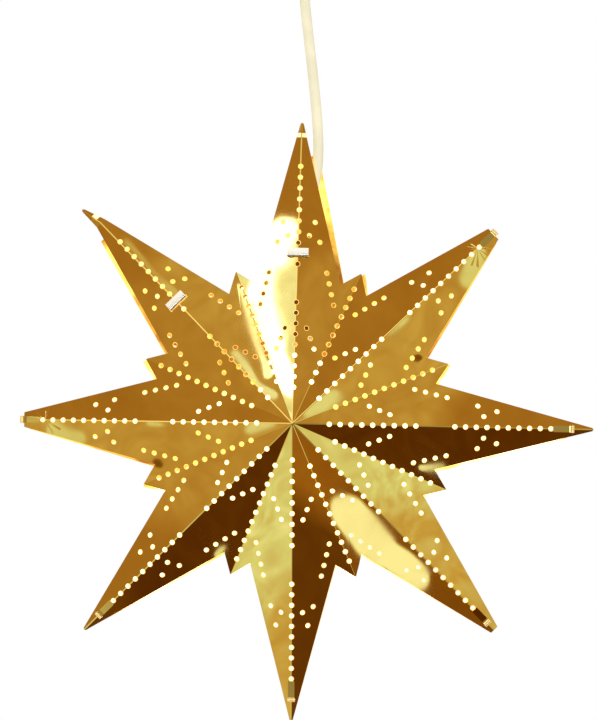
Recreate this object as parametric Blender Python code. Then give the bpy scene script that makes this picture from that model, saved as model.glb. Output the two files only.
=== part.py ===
# A lit Christmas star: two folded, perforated metal shells held together at their tips, with an E14
# lampholder and LED bulb inside, hanging on its cord from a small ceiling cup.
# Metres, +Z up. The origin is on the ceiling, at the middle of the plate. The star's front faces -Y.
import math

import bmesh
import bpy
from mathutils import Matrix, Vector

CLEARANCE = 0.0003  # between pieces that touch or turn in each other
OVERRUN = 0.002  # how far a cutter runs past what it cuts
MERGE_DISTANCE = 0.000001
ROUND_SIDES = 24
SMALL_SIDES = 16
FINE_SIDES = 12
SHARP_ANGLE = math.radians(35)

# Star shells
POINTS = 8
STAR_DROP = 0.340  # from the ceiling to the middle of the star
STAR_RADIUS = 0.175  # to a long tip
RIDGE_HEIGHT = 0.046  # from the plane where the shells meet to the middle of a shell
RIM_HEIGHT = 0.0005  # what is left of it at the long tips
SHEET = 0.0005
TIP_BLUNT = 0.001  # half the width of a tip's end
TIP_CHAMFER = 0.0006
NOTCH_ALONG = 0.0820  # the inner corner between a long and a short tip, along the ridge and across it
NOTCH_ACROSS = 0.0249
SHORT_RADIUS = 0.0964  # to a short tip

# Perforations, measured on the flat sheet from the middle of the star
HOLE_RADIUS = 0.0015
HOLE_SIDES = 4
HOLE_PITCH = 0.00645
INNER_ROW_START = 0.0218
INNER_ROW_HOLES = 9
OUTER_ROW_START = 0.0968  # from here the row runs on as far as the tongue

# Tongues of the back shell, through the front one
TONGUE_WIDTH = 0.0038
TONGUE_FROM_TIP = 0.0127  # how far inside a long tip it crosses from shell to shell
TONGUE_LENGTH = 0.0112  # of the part that lies folded on the ridge
TONGUE_ROOT = 0.006  # of the part that runs along its own shell
TONGUE_DIP = 0.0015  # from its own shell to where it turns across
BACK_END_SETBACK = 0.0033  # from there to the end of the back shell's own point
SLOT_HALF = 0.0009  # half a slot's width along the ridge
SNUB_REACH = 0.0048  # past its slot, of the point whose tip is nipped off

# Straps across the inside, which tie the shells together
STRAP_WIDTH = 0.0125
STRAP_THICKNESS = 0.0008
STRAP_LEVEL = 0.0986  # from the middle of the star
STRAP_TAB = 0.0045

# Ceiling cup and plate
CUP_RADIUS = 0.031
CUP_DEPTH = 0.055
CUP_WALL = 0.0012
CUP_SHOULDER = 0.016
CUP_FLOOR_RADIUS = 0.017
CUP_TOP_GAP = 0.0006
PLATE_THICKNESS = 0.003
FLANGE_DEPTH = 0.012
FLANGE_WALL = 0.0025
PLATE_HOLE_RADIUS = 0.00225
PLATE_HOLE_SPACING = 0.034
FEED_HOLE_RADIUS = 0.005
FEED_HOLE_OFFSET = 0.015
CUP_SCREW_RADIUS = 0.0015
CUP_SCREW_LENGTH = 0.0048
CUP_SCREW_HEAD_RADIUS = 0.0028
CUP_SCREW_HEAD = 0.0016
CUP_SCREW_DROP = 0.008

# Swivel bush in the cup's floor, and the ball of the cord boot that sits in it
PIVOT_RISE = 0.007  # of the ball's centre over the underside of the cup
BALL_RADIUS = 0.008
BALL_TOP = 0.0065
THROAT_DROP = 0.005
BUSH_WALL = 0.0017
BUSH_RIM = 0.004
BUSH_MOUTH_RADIUS = 0.0086
BUSH_FLANGE_RADIUS = 0.0135
BUSH_FLANGE = 0.0025
SWIVEL_NUT_RADIUS = 0.014
SWIVEL_NUT_HEIGHT = 0.004
BOOT_RADIUS = 0.0048
BOOT_END_RADIUS = 0.0039
BOOT_LENGTH = 0.036
BOOT_TAPER_START = 0.014

# Cord and wires
CORD_RADIUS = 0.003
CORD_BEVEL_RESOLUTION = 2
CORD_STEP = 0.0095
WIRE_RADIUS = 0.0011
WIRE_OFFSET = 0.0014  # of a wire from the cord's axis where it leaves the cord

# Connector block that floats on the wires in the cup
BLOCK_WIDTH = 0.020
BLOCK_DEPTH = 0.010
BLOCK_HEIGHT = 0.014
BLOCK_RISE = 0.020  # of its underside over the ball's centre
BLOCK_BORE_RADIUS = 0.0015
BLOCK_BORE_SPACING = 0.010
BLOCK_SCREW_RADIUS = 0.0014
BLOCK_SCREW_LENGTH = 0.003
WIRE_GRIP = 0.003  # how far a wire goes into a terminal

# Lampholder, hung from the strap by its threaded nipple
NIPPLE_RADIUS = 0.0041
NIPPLE_RISE = 0.005  # over the strap
GRIP_NUT_RADIUS = 0.0075
GRIP_NUT_HEIGHT = 0.012
GRIP_NUT_CHAMFER = 0.0012
HOLDER_RADIUS = 0.0135
HOLDER_CAP_WALL = 0.0015
HOLDER_CAP_HEIGHT = 0.0155
HOLDER_CAP_CROWN = 0.008
HOLDER_CROWN_RADIUS = 0.0085
HOLDER_BODY_WALL = 0.0013
HOLDER_BODY_HEIGHT = 0.0305
LEDGE_DROP = 0.0032  # of the ledge that carries the insert, under the body's top
LEDGE_THICKNESS = 0.0012
LEDGE_REACH = 0.0018
INSERT_HEIGHT = 0.0055
SLEEVE_RADIUS = 0.0076
SLEEVE_WALL = 0.0004
SLEEVE_LENGTH = 0.0245
CONTACT_STEM_RADIUS = 0.0010
CONTACT_HEAD_RADIUS = 0.0030
CONTACT_HEAD = 0.0008
HOLDER_WIRE_SPREAD = 0.005

# E14 LED bulb
BULB_LENGTH = 0.078
GLOBE_RADIUS = 0.0225
GLOBE_WALL = 0.0009
GLOBE_NECK_RADIUS = 0.0105
BASE_TIP_RADIUS = 0.0024
BASE_TIP_HEIGHT = 0.0012
BASE_GLASS_RADIUS = 0.0062
BASE_GLASS_HEIGHT = 0.0024
BASE_RADIUS = 0.0069
BASE_WALL = 0.0010
BASE_LENGTH = 0.0198
THREAD_PITCH = 0.00282
THREAD_DEPTH = 0.0005
COLLAR_TOP_RADIUS = 0.0090
COLLAR_RADIUS = 0.0115
COLLAR_HEIGHT = 0.0088
COLLAR_BORE_RADIUS = 0.0045
DRIVER_THICKNESS = 0.0012
DRIVER_LENGTH = 0.016
LED_BOARD_RADIUS = 0.0085
LED_BOARD_THICKNESS = 0.0010
LED_CHIPS = 6
LED_CHIP_SIZE = 0.0024
LED_CHIP_HEIGHT = 0.0008
LED_CHIP_RING = 0.0055

# How each point of the front shell ends, clockwise from the top
POINT_ENDS = ("pointed", "blunt", "pointed", "snubbed", "pointed", "pointed", "blunt", "pointed")
STRAP_POINTS = (0, 7)  # the points that a strap holds, not a tongue: the top one and the one left of it

# The cord's way from the grip nut to the boot, as (x, z) from the middle of the star: out between the
# shells on the right of the top point, then up past its tip
CORD_ROUTE = (
    (0.0009, 0.1170),
    (0.0027, 0.1235),
    (0.0053, 0.1315),
    (0.0078, 0.1410),
    (0.0094, 0.1510),
    (0.0099, 0.1610),
    (0.0094, 0.1740),
    (0.0079, 0.1900),
    (0.0055, 0.2100),
    (0.0031, 0.2280),
    (0.0013, 0.2420),
    (0.0002, 0.2530),
)

# Places worked out from the sizes
SECTOR = math.pi / POINTS
TONGUE_RADIUS = STAR_RADIUS - TONGUE_FROM_TIP
BACK_END_RADIUS = TONGUE_RADIUS - BACK_END_SETBACK
BLUNT_RADIUS = TONGUE_RADIUS - SLOT_HALF  # a point that is cut off square ends where its slot would start
SNUB_RADIUS = TONGUE_RADIUS + SLOT_HALF + SNUB_REACH
PLATE_RADIUS = CUP_RADIUS - CUP_WALL - CLEARANCE
PIVOT_DROP = CUP_DEPTH - PIVOT_RISE
SEAT_RADIUS = BALL_RADIUS + CLEARANCE
BUSH_RADIUS = SEAT_RADIUS + BUSH_WALL
CORD_BORE_RADIUS = CORD_RADIUS + CLEARANCE
CAP_TOP = STRAP_LEVEL - STRAP_THICKNESS / 2 - CLEARANCE
CAP_BOTTOM = CAP_TOP - HOLDER_CAP_HEIGHT
BODY_TOP = CAP_BOTTOM - CLEARANCE
LEDGE_TOP = BODY_TOP - LEDGE_DROP
INSERT_BOTTOM = LEDGE_TOP + CLEARANCE
INSERT_TOP = INSERT_BOTTOM + INSERT_HEIGHT
SLEEVE_TOP = INSERT_BOTTOM - CLEARANCE
BULB_TOP = SLEEVE_TOP - CONTACT_HEAD - CLEARANCE


def material(name, colour, roughness, metallic, glow):
    made = bpy.data.materials.new(name)
    made.use_nodes = True
    shader = made.node_tree.nodes["Principled BSDF"]
    shader.inputs["Base Color"].default_value = (*colour, 1.0)
    shader.inputs["Roughness"].default_value = roughness
    shader.inputs["Metallic"].default_value = metallic
    shader.inputs["Emission Color"].default_value = (*colour, 1.0)
    shader.inputs["Emission Strength"].default_value = glow
    made.diffuse_color = (*colour, 1.0)
    return made


def empty(name, parent=None, place=(0, 0, 0)):
    made = bpy.data.objects.new(name, None)
    bpy.context.collection.objects.link(made)
    made.parent = parent
    made.location = place
    return made


def add(name, mesh, finish, parent, smooth=True):
    """One named piece. Its mesh is in the parent's own frame."""
    made = bpy.data.objects.new(name, mesh)
    bpy.context.collection.objects.link(made)
    made.parent = parent
    if finish:
        mesh.materials.append(finish)
    if smooth:
        mesh.shade_smooth()
        mesh.set_sharp_from_angle(angle=SHARP_ANGLE)
    return made


def finish_mesh(bm, name):
    bmesh.ops.recalc_face_normals(bm, faces=bm.faces)
    if bm.calc_volume(signed=True) < 0:
        bmesh.ops.reverse_faces(bm, faces=bm.faces)
    mesh = bpy.data.meshes.new(name)
    bm.to_mesh(mesh)
    bm.free()
    return mesh


def revolved(name, profile, sides=ROUND_SIDES):
    """A closed (radius, z) profile turned about Z. Points at radius 0 lie on the axis."""
    bm = bmesh.new()
    rings = []
    for radius, z in profile:
        if radius == 0:
            rings.append([bm.verts.new((0, 0, z))])
            continue
        turns = [2 * math.pi * k / sides for k in range(sides)]
        rings.append([bm.verts.new((radius * math.cos(t), radius * math.sin(t), z)) for t in turns])
    for low, high in zip(rings, rings[1:] + rings[:1]):
        if len(low) == len(high) == 1:
            continue
        for k in range(sides):
            n = (k + 1) % sides
            corners = [low[k % len(low)], low[n % len(low)], high[n % len(high)], high[k % len(high)]]
            bm.faces.new(list(dict.fromkeys(corners)))
    return finish_mesh(bm, name)


def arc(centre_z, radius_r, radius_z, start, stop, steps, centre_r=0.0):
    """Points of an ellipse's arc in the (radius, z) plane, from angle start to stop."""
    turns = [start + (stop - start) * k / steps for k in range(steps + 1)]
    return [(centre_r + radius_r * math.cos(t), centre_z + radius_z * math.sin(t)) for t in turns]


def block(name, low, high):
    bm = bmesh.new()
    bmesh.ops.create_cube(bm, size=1.0)
    size = [h - l for l, h in zip(low, high)]
    middle = [(l + h) / 2 for l, h in zip(low, high)]
    bmesh.ops.scale(bm, vec=size, verts=bm.verts)
    bmesh.ops.translate(bm, vec=middle, verts=bm.verts)
    return finish_mesh(bm, name)


def rods(name, places, sides=SMALL_SIDES):
    """Cylinders in one cutter mesh, each given as (start, end, radius)."""
    bm = bmesh.new()
    for start, end, radius in places:
        start, end = Vector(start), Vector(end)
        turn = (end - start).to_track_quat("Z", "Y").to_matrix().to_4x4()
        bmesh.ops.create_cone(
            bm,
            cap_ends=True,
            segments=sides,
            radius1=radius,
            radius2=radius,
            depth=(end - start).length,
            matrix=Matrix.Translation((start + end) / 2) @ turn,
        )
    return finish_mesh(bm, name)


def boolean(target, mesh, operation):
    """Joins mesh to target, or cuts it away, with a hidden guide in the target's own frame."""
    guide = add(mesh.name, mesh, None, target.parent, smooth=False)
    guide.matrix_local = target.matrix_local
    guide.hide_render = True
    guide.display_type = "WIRE"
    modifier = target.modifiers.new(mesh.name, "BOOLEAN")
    modifier.operation = operation
    modifier.object = guide
    return target


def smooth_route(points, step):
    """Points a step apart on a Catmull-Rom curve through the given ones."""
    ends = [2 * points[0] - points[1], *points, 2 * points[-1] - points[-2]]
    found = [points[0]]
    for before, start, end, after in zip(ends, ends[1:], ends[2:], ends[3:]):
        count = max(1, round((end - start).length / step))
        for k in range(1, count + 1):
            t = k / count
            slope_in, slope_out = (end - before) / 2, (after - start) / 2
            found.append(
                (2 * t**3 - 3 * t**2 + 1) * start
                + (t**3 - 2 * t**2 + t) * slope_in
                + (3 * t**2 - 2 * t**3) * end
                + (t**3 - t**2) * slope_out
            )
    return found


def tube(name, points, radius, finish, parent, step=CORD_STEP):
    curve = bpy.data.curves.new(name, "CURVE")
    curve.dimensions = "3D"
    spline = curve.splines.new("POLY")
    route = smooth_route([Vector(p) for p in points], step)
    spline.points.add(len(route) - 1)
    for point, place in zip(spline.points, route):
        point.co = (*place, 1.0)
    curve.bevel_depth = radius
    curve.bevel_resolution = CORD_BEVEL_RESOLUTION
    curve.use_fill_caps = True
    curve.materials.append(finish)
    made = bpy.data.objects.new(name, curve)
    bpy.context.collection.objects.link(made)
    made.parent = parent
    return made


# The folded shape: every facet is a plane that falls from the middle along a ridge and across it


def facet_slopes():
    """The ridge's slope, the valley's, and the slope across a ridge, for a star folded from flat sheet."""
    ridge = (RIDGE_HEIGHT - RIM_HEIGHT) / STAR_RADIUS
    angle = math.atan(ridge)
    along, up = math.cos(angle) * math.cos(SECTOR), math.sin(angle)
    valley = math.tan(math.atan2(up, along) + math.acos(math.cos(SECTOR) / math.hypot(along, up)))
    across = (valley - ridge * math.cos(SECTOR)) / math.sin(SECTOR)
    return ridge, valley, across


RIDGE_SLOPE, VALLEY_SLOPE, ACROSS_SLOPE = facet_slopes()
SHEET_DEPTH = SHEET * math.hypot(1, RIDGE_SLOPE, ACROSS_SLOPE)  # the sheet's thickness along Y


def inner_height(along, across=0.0):
    """How far a shell's inner face lies from the middle plane."""
    return CLEARANCE / 2 + RIDGE_HEIGHT - RIDGE_SLOPE * along - ACROSS_SLOPE * across


def outer_height(along, across=0.0):
    return inner_height(along, across) + SHEET_DEPTH


def point_frame(index):
    """A matrix from (along, across, out) of one point to the star's frame."""
    turn = math.pi / 2 - 2 * SECTOR * index
    cos, sin = math.cos(turn), math.sin(turn)
    return Matrix(((cos, -sin, 0, 0), (0, 0, 1, 0), (sin, cos, 0, 0), (0, 0, 0, 1)))


def half_hole(place):
    """Half of a hole that lies on a ridge, from its near end to its far end."""
    turns = [math.pi - 2 * math.pi * k / HOLE_SIDES for k in range(HOLE_SIDES // 2 + 1)]
    return [(place + HOLE_RADIUS * math.cos(t), abs(HOLE_RADIUS * math.sin(t))) for t in turns]


def half_slot(place, width):
    half = width / 2 + CLEARANCE
    near, far = place - SLOT_HALF, place + SLOT_HALF
    return [(near, 0), (near, half), (far, half), (far, 0)]


def ridge_openings(index, shell):
    """The half openings along one ridge, in order from the middle."""
    flatten = math.cos(math.atan(RIDGE_SLOPE))
    tongue_end = (TONGUE_RADIUS - TONGUE_LENGTH) / flatten
    outer_holes = 1 + int((tongue_end - OUTER_ROW_START) / HOLE_PITCH)
    places = [INNER_ROW_START + k * HOLE_PITCH for k in range(INNER_ROW_HOLES)]
    places += [OUTER_ROW_START + k * HOLE_PITCH for k in range(outer_holes)]
    found = [half_hole(place * flatten) for place in places]
    if index in STRAP_POINTS:
        room = SLOT_HALF + HOLE_RADIUS
        found = [f for f in found if abs((f[0][0] + f[-1][0]) / 2 - STRAP_LEVEL) > room]
        found.append(half_slot(STRAP_LEVEL, STRAP_WIDTH))
    elif shell == "front" and POINT_ENDS[index] != "blunt":
        found.append(half_slot(TONGUE_RADIUS, TONGUE_WIDTH))
    return [corner for opening in sorted(found) for corner in opening]


def point_half_width(along):
    """Half the width of a long point, which narrows in a straight line from the notch to the tip."""
    share = (along - NOTCH_ALONG) / (STAR_RADIUS - TIP_CHAMFER - NOTCH_ALONG)
    return NOTCH_ACROSS + (TIP_BLUNT - NOTCH_ACROSS) * share


def point_end(index, shell):
    """The corners at the end of one half point, from the ridge outwards."""
    style = POINT_ENDS[index]
    if shell == "front" and style == "pointed":
        return [(STAR_RADIUS, 0), (STAR_RADIUS - TIP_CHAMFER, TIP_BLUNT)]
    end = BACK_END_RADIUS if shell == "back" else {"blunt": BLUNT_RADIUS, "snubbed": SNUB_RADIUS}[style]
    return [(end, 0), (end, point_half_width(end))]


def half_point(index, shell):
    """The outline of the facet between a ridge and the valley beside it, seen square on."""
    valley = Vector((math.cos(SECTOR), math.sin(SECTOR)))
    inward = Vector((math.sin(SECTOR), -math.cos(SECTOR)))
    short = [valley * (SHORT_RADIUS - TIP_CHAMFER) + inward * TIP_BLUNT, valley * SHORT_RADIUS]
    ridge = ridge_openings(index, shell) + point_end(index, shell)
    return [(0, 0), *ridge, (NOTCH_ALONG, NOTCH_ACROSS), *[tuple(p) for p in short]]


def shell_mesh(shell):
    """The sixteen facets, given their thickness away from the middle plane."""
    side = -1 if shell == "front" else 1
    bm = bmesh.new()
    for index in range(POINTS):
        frame = point_frame(index)
        outline = half_point(index, shell)
        for mirror in (1, -1):
            places = [(a, c * mirror, side * inner_height(a, c)) for a, c in outline]
            bm.faces.new([bm.verts.new(frame @ Vector(p)) for p in places])
    bmesh.ops.remove_doubles(bm, verts=bm.verts, dist=MERGE_DISTANCE)
    rims = [edge for edge in bm.edges if edge.is_boundary]
    copied = bmesh.ops.duplicate(bm, geom=[*bm.verts, *bm.edges, *bm.faces])
    outer = [item for item in copied["geom"] if isinstance(item, bmesh.types.BMVert)]
    bmesh.ops.translate(bm, vec=(0, side * SHEET_DEPTH, 0), verts=outer)
    twin = copied["vert_map"]
    for edge in rims:
        one, two = edge.verts
        bm.faces.new((one, two, twin[two], twin[one]))
    return finish_mesh(bm, f"{shell}_shell")


def add_ribbon(bm, frame, path, width, thickness):
    """A flat strip of one width that follows an (along, out) path in a point's own plane."""
    path = [Vector(p) for p in path]
    runs = [(b - a).normalized() for a, b in zip(path, path[1:])]
    sides = ([], [])
    for k, place in enumerate(path):
        before, after = runs[max(k - 1, 0)], runs[min(k, len(runs) - 1)]
        bisector = (before + after).normalized()
        normal = Vector((-bisector.y, bisector.x))
        reach = thickness / 2 / normal.dot(Vector((-after.y, after.x)))
        sides[0].append(place + normal * reach)
        sides[1].append(place - normal * reach)
    outline = sides[0] + sides[1][::-1]
    left, right = (
        [bm.verts.new(frame @ Vector((a, across, out))) for a, out in outline]
        for across in (-width / 2, width / 2)
    )
    count = len(outline)
    for k in range(count):
        n = (k + 1) % count
        bm.faces.new((left[k], left[n], right[n], right[k]))
    for k in range(len(path) - 1):
        for side in (left, right):
            bm.faces.new((side[k], side[k + 1], side[count - 2 - k], side[count - 1 - k]))


def tongue_path():
    """A tongue's way along the back shell's ridge, across to the front one, and back along it."""
    root, bend = BACK_END_RADIUS - TONGUE_ROOT, TONGUE_RADIUS - 2 * SLOT_HALF
    own = [(along, inner_height(along) + SHEET_DEPTH / 2) for along in (root, bend)]
    crossing = (TONGUE_RADIUS, inner_height(TONGUE_RADIUS) - TONGUE_DIP)
    lift = CLEARANCE + SHEET
    turn = (TONGUE_RADIUS, -outer_height(TONGUE_RADIUS) - CLEARANCE)
    flat = [TONGUE_RADIUS - SLOT_HALF, TONGUE_RADIUS - TONGUE_LENGTH]
    return [*own, crossing, turn, *[(along, -outer_height(along) - lift) for along in flat]]


def tongues_mesh():
    bm = bmesh.new()
    for index in range(POINTS):
        if index not in STRAP_POINTS:
            add_ribbon(bm, point_frame(index), tongue_path(), TONGUE_WIDTH, SHEET)
    return finish_mesh(bm, "back_shell_tongues")


def strap_mesh(name, index):
    """A strip across the inside of a point, with its ends folded up over the two ridges."""
    lift = CLEARANCE + STRAP_THICKNESS / 2
    ends = [(a, outer_height(a) + lift) for a in (STRAP_LEVEL + STRAP_TAB, STRAP_LEVEL)]
    path = [(a, -out) for a, out in ends] + ends[::-1]
    bm = bmesh.new()
    add_ribbon(bm, point_frame(index), path, STRAP_WIDTH, STRAP_THICKNESS)
    return finish_mesh(bm, name)


def build_shells(centre, finish):
    add("front_shell", shell_mesh("front"), finish["gold sheet"], centre, smooth=False)
    back = add("back_shell", shell_mesh("back"), finish["gold sheet"], centre, smooth=False)
    boolean(back, tongues_mesh(), "UNION")


def build_straps(centre, finish):
    steel = finish["plated steel"]
    straps = []
    for name, index in zip(("hanger_strap", "tie_strap"), STRAP_POINTS):
        straps.append(add(name, strap_mesh(name, index), steel, centre, smooth=False))
    low, high = STRAP_LEVEL - OVERRUN, STRAP_LEVEL + OVERRUN
    hole = rods("hanger_strap_hole", [((0, 0, low), (0, 0, high), NIPPLE_RADIUS + CLEARANCE)])
    boolean(straps[0], hole, "DIFFERENCE")


def build_ceiling_fitting(ceiling, finish):
    steel = finish["plated steel"]
    inner = PLATE_RADIUS - FLANGE_WALL
    profile = [(0, 0), (PLATE_RADIUS, 0), (PLATE_RADIUS, -FLANGE_DEPTH), (inner, -FLANGE_DEPTH)]
    profile += [(inner, -PLATE_THICKNESS), (0, -PLATE_THICKNESS)]
    plate = add("ceiling_plate", revolved("ceiling_plate", profile), steel, ceiling)
    low, high = -PLATE_THICKNESS - OVERRUN, OVERRUN
    holes = [(side * PLATE_HOLE_SPACING / 2, 0, PLATE_HOLE_RADIUS) for side in (-1, 1)]
    holes.append((0, FEED_HOLE_OFFSET, FEED_HOLE_RADIUS))
    cutters = [((x, y, low), (x, y, high), radius) for x, y, radius in holes]
    reach = CUP_RADIUS + OVERRUN
    across = ((0, -reach, -CUP_SCREW_DROP), (0, reach, -CUP_SCREW_DROP), CUP_SCREW_RADIUS + CLEARANCE)
    boolean(plate, rods("ceiling_plate_holes", [*cutters, across]), "DIFFERENCE")

    shoulder = -(CUP_DEPTH - CUP_SHOULDER)
    bore = BUSH_RADIUS + CLEARANCE
    span = CUP_RADIUS - CUP_FLOOR_RADIUS
    outside = arc(shoulder, span, CUP_SHOULDER, 0, -math.pi / 2, 5, CUP_FLOOR_RADIUS)
    inside = arc(shoulder, span - CUP_WALL, CUP_SHOULDER - CUP_WALL, -math.pi / 2, 0, 5, CUP_FLOOR_RADIUS)
    profile = [(CUP_RADIUS, -CUP_TOP_GAP), *outside, (bore, -CUP_DEPTH), (bore, -CUP_DEPTH + CUP_WALL)]
    profile += [*inside, (CUP_RADIUS - CUP_WALL, -CUP_TOP_GAP)]
    cup = add("ceiling_cup", revolved("ceiling_cup", profile), finish["white enamel"], ceiling)
    boolean(cup, rods("ceiling_cup_holes", [across]), "DIFFERENCE")

    head, shank = CUP_SCREW_HEAD_RADIUS, CUP_SCREW_RADIUS
    profile = [(0, CUP_SCREW_HEAD), (head * 0.7, CUP_SCREW_HEAD), (head, CUP_SCREW_HEAD / 2), (head, 0)]
    profile += [(shank, 0), (shank, -CUP_SCREW_LENGTH), (0, -CUP_SCREW_LENGTH)]
    for number, side in enumerate((-1, 1), 1):
        name = f"cup_screw_{number}"
        screw = add(name, revolved(name, profile, SMALL_SIDES), steel, ceiling)
        screw.location = (0, side * (CUP_RADIUS + CLEARANCE), -CUP_SCREW_DROP)
        screw.rotation_euler = (-side * math.pi / 2, 0, 0)


def build_swivel(pivot, finish):
    """The bush that turns in the cup's floor, and the nut that keeps it there."""
    flange_top = -PIVOT_RISE - CLEARANCE
    flange_bottom = flange_top - BUSH_FLANGE
    throat = math.asin(THROAT_DROP / SEAT_RADIUS)
    profile = [(BUSH_RADIUS, BUSH_RIM), (BUSH_RADIUS, flange_top), (BUSH_FLANGE_RADIUS, flange_top)]
    profile += [(BUSH_FLANGE_RADIUS, flange_bottom), (BUSH_MOUTH_RADIUS, flange_bottom)]
    profile += [*arc(0, SEAT_RADIUS, SEAT_RADIUS, -throat, 0, 4), (SEAT_RADIUS, BUSH_RIM)]
    add("swivel_bush", revolved("swivel_bush", profile), finish["white enamel"], pivot)
    low = -PIVOT_RISE + CUP_WALL + CLEARANCE
    inner, high = BUSH_RADIUS + CLEARANCE, low + SWIVEL_NUT_HEIGHT
    profile = [(inner, low), (SWIVEL_NUT_RADIUS, low), (SWIVEL_NUT_RADIUS, high), (inner, high)]
    add("swivel_nut", revolved("swivel_nut", profile, SMALL_SIDES), finish["plated steel"], pivot)


def build_cord_top(pivot, finish):
    """The ball-headed boot, and above it the wires and the connector block that floats on them."""
    ivory = finish["ivory pvc"]
    top = math.asin(BALL_TOP / BALL_RADIUS)
    bottom = -math.acos(BOOT_RADIUS / BALL_RADIUS)
    profile = [(CORD_BORE_RADIUS, BALL_TOP), *arc(0, BALL_RADIUS, BALL_RADIUS, top, bottom, 8)]
    profile += [(BOOT_RADIUS, -BOOT_TAPER_START), (BOOT_END_RADIUS, -BOOT_LENGTH)]
    profile += [(CORD_BORE_RADIUS, -BOOT_LENGTH)]
    add("cord_boot", revolved("cord_boot", profile), ivory, pivot)

    half_width, half_depth, top = BLOCK_WIDTH / 2, BLOCK_DEPTH / 2, BLOCK_RISE + BLOCK_HEIGHT
    size = ((-half_width, -half_depth, BLOCK_RISE), (half_width, half_depth, top))
    connector = add("connector_block", block("connector_block", *size), ivory, pivot, smooth=False)
    screw_z = BLOCK_RISE + BLOCK_HEIGHT / 2
    screw_end = -half_depth + BLOCK_SCREW_LENGTH
    cutters = []
    for number, side in enumerate((-1, 1), 1):
        x = side * BLOCK_BORE_SPACING / 2
        low, high = BLOCK_RISE - OVERRUN, top + OVERRUN
        cutters.append(((x, 0, low), (x, 0, high), BLOCK_BORE_RADIUS))
        before = (x, -half_depth - OVERRUN, screw_z)
        cutters.append((before, (x, 0, screw_z), BLOCK_SCREW_RADIUS + CLEARANCE))
        name = f"connector_screw_{number}"
        front, end = (x, -half_depth, screw_z), (x, screw_end, screw_z)
        screw = rods(name, [(front, end, BLOCK_SCREW_RADIUS)], FINE_SIDES)
        add(name, screw, finish["plated steel"], pivot)
        start = (side * WIRE_OFFSET, 0, BALL_TOP + CLEARANCE)
        mid = (side * (WIRE_OFFSET + BLOCK_BORE_SPACING / 2) / 2, 0, (BALL_TOP + BLOCK_RISE) / 2)
        route = [start, mid, (x, 0, BLOCK_RISE), (x, 0, BLOCK_RISE + WIRE_GRIP)]
        tube(f"upper_wire_{number}", route, WIRE_RADIUS, finish["wire insulation"], pivot, WIRE_GRIP)
    boolean(connector, rods("connector_block_holes", cutters, FINE_SIDES), "DIFFERENCE")


def build_cord(centre, finish):
    """The cord, from inside the lampholder's nipple to the top of the ball."""
    low = CAP_TOP - HOLDER_CAP_WALL
    grip_top = STRAP_LEVEL + STRAP_THICKNESS / 2 + CLEARANCE + GRIP_NUT_HEIGHT
    ball = STAR_DROP - PIVOT_DROP
    route = [(0, 0, low), (0, 0, (low + grip_top) / 2), (0, 0, grip_top)]
    route += [(x, 0, z) for x, z in CORD_ROUTE]
    route += [(0, 0, ball - BOOT_LENGTH / 2), (0, 0, ball + BALL_TOP)]
    tube("supply_cord", route, CORD_RADIUS, finish["ivory pvc"], centre)


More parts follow.
